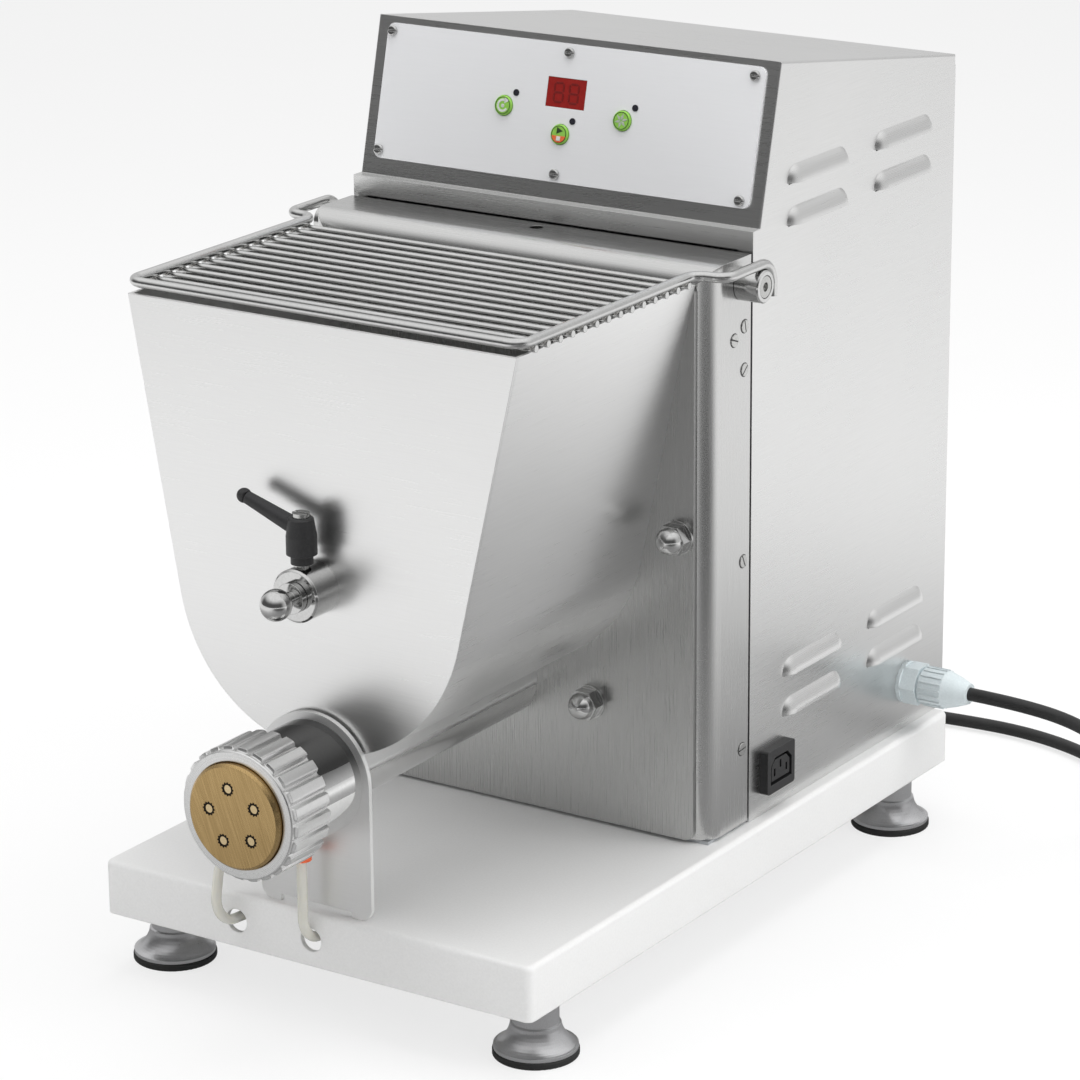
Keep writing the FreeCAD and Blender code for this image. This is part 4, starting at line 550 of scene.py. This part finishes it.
grid_wire = make_finish("polished_grid_wire", (0.58, 0.58, 0.575), (0.72, 0.72, 0.715),
                        (0.10, 0.18),
                        0.0009, 0.00001, metallic=1.0, cloud=0.04, edge=(0.80, 0.80, 0.795))
dress(grid_wire, "grid_frame", "grid_rods", "grid_pivots")
dress(screw_steel, "pivot_screws")
weld_steel = make_finish("weld_bead_steel", (0.44, 0.43, 0.41), (0.62, 0.61, 0.59), (0.20, 0.36),
                         0.0006, 0.00006, metallic=1.0, cloud=0.004)
bead_length = 0.0036
bead_width = 0.0021
bead_rings = 7
bead_sides = 10
rods_low, rods_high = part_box("grid_rods")
rod_radius = (rods_high.z - rods_low.z) / 2
rod_count = 14
bead_inset = 0.0025
bead_drop = 0.0006
bead_x = rods_high.x - bead_inset
bead_z = rods_high.z - bead_drop
first_bead_y = rods_low.y + rod_radius
bead_pitch = (rods_high.y - rods_low.y - 2 * rod_radius) / (rod_count - 1)
shaky = random.Random(7)


def weld_bead(mesh, centre, along):
    """One uneven lump of weld, longest along the wire."""
    across = Vector((1, 0, 0)) if abs(along.x) < 0.5 else Vector((0, 1, 0))
    rise = along.cross(across)
    loops = []
    for ring in range(bead_rings):
        angle = math.pi * (ring + 0.5) / bead_rings
        middle = centre - along * (bead_length * math.cos(angle))
        loop = []
        for side in range(bead_sides):
            turn = 2 * math.pi * side / bead_sides
            reach = bead_width * math.sin(angle) * shaky.uniform(0.9, 1.1)
            loop.append(mesh.verts.new(middle + across * (reach * math.cos(turn))
                                       + rise * (reach * math.sin(turn))))
        loops.append(loop)
    for first, second in zip(loops, loops[1:]):
        for side in range(bead_sides):
            after = (side + 1) % bead_sides
            mesh.faces.new((first[side], first[after], second[after], second[side]))
    mesh.faces.new(list(reversed(loops[0])))
    mesh.faces.new(loops[-1])


beads = bmesh.new()
for rod in range(rod_count):
    for side in (-1, 1):
        bead_place = Vector((side * bead_x, first_bead_y + rod * bead_pitch, bead_z))
        weld_bead(beads, bead_place, Vector((0, 1, 0)))
grid_beads = new_piece("grid_weld_beads", beads, weld_steel, "grid")


# Control panel. A light plate of coated aluminium is screwed to the sloping
# fascia with six domed screws. Behind it a board carries a red display of two
# figures, three lamps and the switches under the three green keys.

board_green = make_finish("circuit_board", (0.010, 0.085, 0.035), (0.020, 0.14, 0.06), (0.30, 0.45),
                          0.0012, 0.00003, stretch=(12, 1, 1), cloud=0.01, edge=(0.30, 0.32, 0.18))
label_coat = make_finish("coated_label_plate", (0.84, 0.845, 0.86), (0.88, 0.885, 0.90),
                         (0.36, 0.46), 0.0006, 0.00001, metallic=0.1, stretch=(40, 1, 1), cloud=0.2,
                         edge=(0.86, 0.86, 0.86), fine_share=0.35, round_off=0.0003)
display_red = make_finish("display_filter", (0.27, 0.012, 0.010), (0.34, 0.018, 0.014),
                          (0.16, 0.24),
                          0.002, 0.000005, cloud=0.03, edge=(0.10, 0.004, 0.004), round_off=0.0006)
key_green = make_finish("key_green_plastic", (0.24, 0.54, 0.065), (0.32, 0.64, 0.10), (0.28, 0.40),
                        0.0011, 0.00002, cloud=0.006, edge=(0.16, 0.34, 0.07), round_off=0.0006)
lamp_dark = make_finish("dark_lamp_lens", (0.016, 0.016, 0.022), (0.034, 0.034, 0.045), (0.12, 0.2),
                        0.0008, 0.00001, cloud=0.002)
dress(board_green, "control_board")
dress(label_coat, "label_plate")
dress(display_red, "display_window")
dress(key_green, "left_button", "start_button", "right_button")
dress(lamp_dark, "lamp_lenses")
dress(polished_steel, "panel_screws")

fascia_set_back = 22.9
fascia_rise = 93.7
fascia_lean = math.atan2(fascia_set_back, fascia_rise)
fascia_up = Vector((0, math.sin(fascia_lean), math.cos(fascia_lean)))
fascia_out = Vector((0, -math.cos(fascia_lean), math.sin(fascia_lean)))
print_thickness = 0.00012


def face_of(name):
    """The middle of a panel piece's outer face, as a placement with z pointing out."""
    points = [v.co for v in parts[name].data.vertices]
    across = [p.x for p in points]
    up = [p.dot(fascia_up) for p in points]
    out = max(p.dot(fascia_out) for p in points)
    middle = (Vector(((min(across) + max(across)) / 2, 0, 0))
              + fascia_up * ((min(up) + max(up)) / 2) + fascia_out * out)
    turn = Matrix((Vector((1, 0, 0)), fascia_up, fascia_out)).transposed()
    return Matrix.Translation(middle) @ turn.to_4x4()


def flat_shape(mesh, outline, thickness=print_thickness):
    """One printed shape: an outline in metres, given a little thickness."""
    low = [mesh.verts.new((x, y, 0)) for x, y in outline]
    high = [mesh.verts.new((x, y, thickness)) for x, y in outline]
    mesh.faces.new(high)
    mesh.faces.new(list(reversed(low)))
    count = len(outline)
    for k in range(count):
        after = (k + 1) % count
        mesh.faces.new((low[k], low[after], high[after], high[k]))


def arc(radius, start, end, count, x=0.0, y=0.0):
    """Points along an arc, with its angles in degrees."""
    angles = [math.radians(start + (end - start) * k / count) for k in range(count + 1)]
    return [(x + radius * math.cos(a), y + radius * math.sin(a)) for a in angles]


def printed_band(mesh, outer, inner, start, end, count, x=0.0, y=0.0, height=print_thickness):
    """A printed ring, or a part of one, built of short quads."""
    rim = arc(outer, start, end, count, x, y)
    bore = arc(inner, start, end, count, x, y)
    for k in range(count):
        flat_shape(mesh, [bore[k], rim[k], rim[k + 1], bore[k + 1]], height)


# Figures of the display: two rows of seven bars, unlit, a shade darker than
# the red filter in front of them.
bar_red = make_finish("unlit_display_bars", (0.17, 0.008, 0.007), (0.21, 0.012, 0.010), (0.2, 0.3),
                      0.0012, 0.000004)
figure_height = 0.0112
figure_width = 0.0062
figure_gap = 0.0105
bar_half = 0.00062
figures = bmesh.new()
for figure in (-1, 1):
    middle_x = figure * figure_gap / 2
    for row in (-1, 0, 1):
        y = row * figure_height / 2
        reach = figure_width / 2 - bar_half * 0.6
        flat_shape(figures, [(middle_x - reach, y), (middle_x - reach + bar_half, y - bar_half),
                             (middle_x + reach - bar_half, y - bar_half), (middle_x + reach, y),
                             (middle_x + reach - bar_half, y + bar_half),
                             (middle_x - reach + bar_half, y + bar_half)])
    for side in (-1, 1):
        for half in (-1, 1):
            x = middle_x + side * figure_width / 2
            low_y, high_y = sorted((half * bar_half * 0.5, half * (figure_height / 2 - bar_half * 0.5)))
            flat_shape(figures, [(x, low_y), (x + bar_half, low_y + bar_half),
                                 (x + bar_half, high_y - bar_half), (x, high_y),
                                 (x - bar_half, high_y - bar_half), (x - bar_half, low_y + bar_half)])
display_figures = new_piece("display_figures", figures, bar_red, "root", face_of("display_window"),
                            smooth=False)

# Prints on the keys: a turning arrow, a triangle over a square for start and
# stop, and a star of six arms. Each is printed ink on the key's face.
pale_ink = make_finish("pale_key_ink", (0.66, 0.70, 0.64), (0.78, 0.80, 0.76),
                       (0.4, 0.5), 0.0009, 0.000005)
dark_ink = make_finish("dark_key_ink", (0.020, 0.045, 0.012), (0.035, 0.065, 0.022), (0.4, 0.5),
                       0.0009, 0.000005)
orange_ink = make_finish("orange_key_ink", (0.78, 0.13, 0.035), (0.88, 0.19, 0.055), (0.35, 0.45),
                         0.0009, 0.000005)
grey_ink = make_finish("grey_key_ink", (0.40, 0.45, 0.38), (0.52, 0.57, 0.48),
                       (0.4, 0.5), 0.0009, 0.000005)
key_print_radius = 0.0050

turning_arrow = bmesh.new()
printed_band(turning_arrow, 0.0040, 0.0026, 60, 330, 20)
flat_shape(turning_arrow, [(0.0010, 0.0012), (0.0044, 0.0032), (0.0010, 0.0050)])
printed_band(turning_arrow, 0.0012, 0.0, 0, 360, 12, 0.0001, -0.0002)
left_print = new_piece("left_key_print", turning_arrow, pale_ink, "left_key", face_of("left_button"),
                       smooth=False)

stop_half = bmesh.new()
flat_shape(stop_half, arc(key_print_radius, 190, 350, 24))
stop_print = new_piece("stop_half_print", stop_half, orange_ink, "start_key", face_of("start_button"),
                       smooth=False)

start_mark = bmesh.new()
flat_shape(start_mark, [(-0.0016, 0.0002), (0.0026, 0.0022), (-0.0016, 0.0042)])
start_print = new_piece("start_mark_print", start_mark, dark_ink, "start_key", face_of("start_button"),
                        smooth=False)

stop_mark = bmesh.new()
flat_shape(stop_mark, [(-0.0014, -0.0038), (0.0014, -0.0038), (0.0014, -0.0012), (-0.0014, -0.0012)],
           2 * print_thickness)
stop_square = new_piece("stop_mark_print", stop_mark, pale_ink, "start_key", face_of("start_button"),
                        smooth=False)

star_reach = 0.0046
star_waist = 0.0020
star_half_width = 0.0009
star_middle = 0.0003
star_turn = 15
star = bmesh.new()
for arm in range(6):
    arm_angle = math.radians(60 * arm + star_turn)
    side_angle = arm_angle + math.pi / 2
    along = Vector((math.cos(arm_angle), math.sin(arm_angle)))
    tip = along * star_reach
    waist = along * star_waist
    wide = Vector((math.cos(side_angle), math.sin(side_angle))) * star_half_width
    root_in = along * star_middle
    flat_shape(star, [tuple(root_in), tuple(waist - wide), tuple(tip), tuple(waist + wide)])
star_print = new_piece("right_key_print", star, grey_ink, "right_key", face_of("right_button"),
                       smooth=False)

key_rim_half = 0.0002
for key, body in (("left_button", "left_key"), ("start_button", "start_key"),
                  ("right_button", "right_key")):
    rim = bmesh.new()
    printed_band(rim, key_print_radius + key_rim_half, key_print_radius - key_rim_half, 0, 360, 40)
    key_rim = new_piece(body + "_rim_print", rim, dark_ink, body, face_of(key), smooth=False)


# Mains outlet. A black socket of moulded plastic snapped into the right side
# for a second appliance, with three slots in its raised face.

socket_plastic = make_finish("socket_plastic", (0.012, 0.012, 0.013), (0.026, 0.026, 0.027),
                             (0.34, 0.48),
                             0.0008, 0.00004, edge=(0.08, 0.08, 0.08), round_off=0.0006)
dress(socket_plastic, "outlet_socket")


# Mains cord. A black rubber cord leaves the side through a light grey gland
# with a ribbed cap, falls to the table, goes round behind the machine and
# ends in a tied coil with a moulded plug.

gland_plastic = make_finish("gland_plastic", (0.62, 0.69, 0.71), (0.72, 0.79, 0.81), (0.34, 0.46),
                            0.0014, 0.00003, edge=(0.72, 0.76, 0.78), round_off=0.0006)
cord_rubber = make_finish("cord_rubber", (0.012, 0.012, 0.012), (0.026, 0.026, 0.026), (0.42, 0.58),
                          0.0012, 0.00005, cloud=0.02)
tie_nylon = make_finish("tie_nylon", (0.014, 0.014, 0.014), (0.03, 0.03, 0.03), (0.32, 0.44),
                        0.0007, 0.00003, edge=(0.08, 0.08, 0.08))
plug_plastic = make_finish("plug_plastic", (0.014, 0.014, 0.015), (0.03, 0.03, 0.031), (0.38, 0.52),
                           0.0009, 0.00004, edge=(0.07, 0.07, 0.07), round_off=0.0008)
dress(gland_plastic, "cord_gland")
dress(tie_nylon, "coil_tie")
dress(plug_plastic, "power_plug")

cord_diameter = 0.0084
cord_route = [(0.187, 0.2295, 0.101), (0.228, 0.2295, 0.101), (0.256, 0.2535, 0.085),
              (0.258, 0.2935, 0.055), (0.246, 0.3355, 0.025), (0.222, 0.3755, 0.007),
              (0.182, 0.4045, 0.0055), (0.132, 0.4175, 0.0055), (0.080, 0.4145, 0.0055),
              (0.030, 0.4065, 0.0055), (-0.0216, 0.4065, 0.0055)]
coil_x = -0.030
coil_y = 0.3505
coil_outer = 0.056
coil_pitch = 0.0093
coil_floor = 0.0055
coil_layer = 0.0092
coil_turns = 4.25
inmost_turn = 2.25
layer_turn = 2
layer_ramp = 0.5
end_rise = 0.0033
end_rise_turn = 3.95
end_ramp = 0.3
end_height = 0.018
points_per_turn = 12
cut_in = math.cos(math.pi / points_per_turn)


def eased(share):
    """A smooth rise from 0 to 1."""
    share = min(1.0, max(0.0, share))
    return share * share * (3 - 2 * share)


turn_points = int(coil_turns * points_per_turn)
for k in range(1, turn_points + 1):
    turns_done = k / points_per_turn
    ring_radius = (coil_outer - coil_pitch * (inmost_turn - abs(inmost_turn - turns_done))) / cut_in
    angle = math.pi / 2 + 2 * math.pi * turns_done
    height = (coil_floor + coil_layer * eased((turns_done - layer_turn) / layer_ramp)
              + end_rise * eased((turns_done - end_rise_turn) / end_ramp))
    cord_route.append((coil_x + ring_radius * math.cos(angle), coil_y + ring_radius * math.sin(angle),
                       height))
last_angle = math.pi / 2 + 2 * math.pi * coil_turns
end_reach = coil_outer - coil_pitch * (inmost_turn - abs(inmost_turn - coil_turns))
end_point = Vector((coil_x + end_reach * math.cos(last_angle), coil_y + end_reach * math.sin(last_angle),
                    end_height))
end_heading = Vector((-math.sin(last_angle), math.cos(last_angle), 0))
cord_route.append(tuple(end_point + end_heading * 1.5 * cord_diameter))

cord_line = bpy.data.curves.new("mains_cord", "CURVE")
cord_line.dimensions = "3D"
cord_line.bevel_depth = cord_diameter / 2
cord_line.bevel_resolution = 6
cord_line.use_fill_caps = True
spline = cord_line.splines.new("NURBS")
spline.points.add(len(cord_route) - 1)
for point, place in zip(spline.points, cord_route):
    point.co = (*place, 1)
spline.order_u = 3
spline.use_endpoint_u = True
spline.resolution_u = 8
cord_line.materials.append(cord_rubber)
mains_cord = bpy.data.objects.new("mains_cord", cord_line)
bpy.context.scene.collection.objects.link(mains_cord)
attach(mains_cord, "root")
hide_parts("cord_tube", "cord_coil")


# Floor, light and camera. A plain pale floor under soft studio lamps, and
# the camera where the machine was photographed from, on its front right.

floor_half = 6.0
floor_mesh = bmesh.new()
floor_corners = [(-floor_half, -floor_half), (floor_half, -floor_half), (floor_half, floor_half),
                 (-floor_half, floor_half)]
floor_mesh.faces.new([floor_mesh.verts.new((x, y, 0)) for x, y in floor_corners])
floor_data = bpy.data.meshes.new("studio_floor")
floor_mesh.to_mesh(floor_data)
floor_mesh.free()
studio_floor = bpy.data.objects.new("studio_floor", floor_data)
bpy.context.scene.collection.objects.link(studio_floor)
floor_paint = bpy.data.materials.new("pale_floor")
floor_paint.use_nodes = True
floor_tree = floor_paint.node_tree
floor_shader = floor_tree.nodes["Principled BSDF"]
floor_shader.inputs["Roughness"].default_value = 0.9
floor_shader.inputs["Specular IOR Level"].default_value = 0.1
floor_tone = tones(floor_tree, speckle(floor_tree, 0.6), (0.86, 0.86, 0.86), (0.89, 0.89, 0.89))
floor_tree.links.new(floor_tone, floor_shader.inputs["Base Color"])


def seen_directly(tree):
    """1 for what the camera, a mirror or a clear piece sees of the backdrop."""
    rays = tree.nodes.new("ShaderNodeLightPath")
    seen = step(tree, "Math", "Value",
                {0: rays.outputs["Is Camera Ray"], 1: rays.outputs["Is Glossy Ray"]},
                operation="MAXIMUM")
    return step(tree, "Math", "Value", {0: seen, 1: rays.outputs["Is Transmission Ray"]},
                operation="MAXIMUM")


floor_white = 0.74
white_share = step(floor_tree, "Math", "Value", {0: seen_directly(floor_tree), 1: floor_white},
                   operation="MULTIPLY")
# Seen in a mirror, the floor is dark on a card by the camera and dim close to
# the machine, so that the steel has something dark to mirror.
card_place = (1.15, -0.95, 0)
card_reach = (0.55, 1.35)
card_dark = 0.12
floor_place = step(floor_tree, "TexCoord", "Object", {})
card_distance = step(floor_tree, "VectorMath", "Value", {0: floor_place, 1: card_place},
                     operation="DISTANCE")
card_light = step(floor_tree, "MapRange", "Result",
                  {"Value": card_distance, "From Min": card_reach[0], "From Max": card_reach[1],
                   "To Min": card_dark, "To Max": 1.0}, interpolation_type="SMOOTHSTEP")
near_reach = (0.30, 1.05)
near_dark = 0.36
near_distance = step(floor_tree, "VectorMath", "Value", {0: floor_place}, operation="LENGTH")
near_light = step(floor_tree, "MapRange", "Result",
                  {"Value": near_distance, "From Min": near_reach[0], "From Max": near_reach[1],
                   "To Min": near_dark, "To Max": 1.0}, interpolation_type="SMOOTHSTEP")
card_light = step(floor_tree, "Math", "Value", {0: card_light, 1: near_light}, operation="MULTIPLY")
floor_rays = floor_tree.nodes.new("ShaderNodeLightPath")
card_light = step(floor_tree, "Mix", 0, {0: floor_rays.outputs["Is Glossy Ray"], 2: 1.0, 3: card_light},
                  data_type="FLOAT")
floor_tree.links.new(over(floor_tree, card_light, (0.02, 0.02, 0.02, 1), floor_tone),
                     floor_shader.inputs["Base Color"])
floor_glow = step(floor_tree, "Emission", "Emission", {"Color": (1, 1, 1, 1), "Strength": card_light})
floor_mix = step(floor_tree, "MixShader", "Shader",
                 {0: white_share, 1: floor_shader.outputs["BSDF"], 2: floor_glow})
floor_tree.links.new(floor_mix, floor_tree.nodes["Material Output"].inputs["Surface"])
floor_data.materials.append(floor_paint)

studio = bpy.data.worlds.new("studio")
bpy.context.scene.world = studio
studio.use_nodes = True
room = studio.node_tree
room_light = 0.55
# Mirrors see the room dim near the horizon and dark in its front half. It is
# white overhead, and white all round for the camera.
front_dark = 0.90
back_dark = 0.35
back_from = 0.25
front_from = -0.35
overhead_from = 0.85
horizon_to = 0.30
sight = step(room, "TexCoord", "Generated", {})
sight_y = step(room, "SeparateXYZ", "Y", {"Vector": sight})
sight_z = step(room, "SeparateXYZ", "Z", {"Vector": sight})
front_share = step(room, "MapRange", "Result",
                   {"Value": sight_y, "From Min": back_from, "From Max": front_from,
                    "To Min": back_dark, "To Max": front_dark},
                   interpolation_type="SMOOTHSTEP")
low_share = step(room, "MapRange", "Result",
                 {"Value": sight_z, "From Min": overhead_from, "From Max": horizon_to,
                  "To Min": 0.0, "To Max": 1.0},
                 interpolation_type="SMOOTHSTEP")
shaded = step(room, "Math", "Value", {0: front_share, 1: low_share}, operation="MULTIPLY")
mirrored = step(room, "Math", "Value", {0: 1.0, 1: shaded}, operation="SUBTRACT")
room_rays = room.nodes.new("ShaderNodeLightPath")
seen_plain = step(room, "Math", "Value",
                  {0: room_rays.outputs["Is Camera Ray"], 1: room_rays.outputs["Is Transmission Ray"]},
                  operation="MAXIMUM")
strength = step(room, "Mix", 0, {0: room_rays.outputs["Is Glossy Ray"], 2: room_light, 3: mirrored},
                data_type="FLOAT")
strength = step(room, "Mix", 0, {0: seen_plain, 2: strength, 3: 1.0}, data_type="FLOAT")
room.nodes["Background"].inputs["Color"].default_value = (1, 1, 1, 1)
room.links.new(strength, room.nodes["Background"].inputs["Strength"])

lamps = {"key_softbox": ((-1.3, -1.5, 1.9), 1.5, 13.0), "right_softbox": ((1.9, 0.2, 1.3), 1.4, 19.0),
         "top_softbox": ((0.1, 0.3, 2.1), 1.6, 30.0)}
for name, (place, size, power) in lamps.items():
    lamp = bpy.data.lights.new(name, "AREA")
    lamp.shape = "SQUARE"
    lamp.size = size
    lamp.energy = power
    holder = bpy.data.objects.new(name, lamp)
    bpy.context.scene.collection.objects.link(holder)
    aim = Vector((0, 0, 0.25)) - Vector(place)
    holder.visible_glossy = False
    holder.matrix_world = Matrix.Translation(place) @ aim.to_track_quat("-Z", "Y").to_matrix().to_4x4()

camera_azimuth = math.radians(33.451)
camera_elevation = math.radians(17.898)
camera_roll = math.radians(-0.487)
camera_distance = 2.5738
camera_target = Vector((0, 0.02433, 0.22715))
back = Vector((math.sin(camera_azimuth) * math.cos(camera_elevation),
               -math.cos(camera_azimuth) * math.cos(camera_elevation), math.sin(camera_elevation)))
level_right = (-back).cross(Vector((0, 0, 1))).normalized()
level_up = level_right.cross(-back)
rolled_right = level_right * math.cos(camera_roll) + level_up * math.sin(camera_roll)
rolled_up = level_up * math.cos(camera_roll) - level_right * math.sin(camera_roll)
lens = bpy.data.cameras.new("photo_camera")
lens.sensor_width = 36.0
lens.lens = 142.1
photo_camera = bpy.data.objects.new("photo_camera", lens)
bpy.context.scene.collection.objects.link(photo_camera)
camera_axes = Matrix((rolled_right, rolled_up, back)).transposed().to_4x4()
photo_camera.matrix_world = Matrix.Translation(camera_target + back * camera_distance) @ camera_axes
bpy.context.scene.camera = photo_camera
bpy.context.scene.view_settings.view_transform = "Standard"
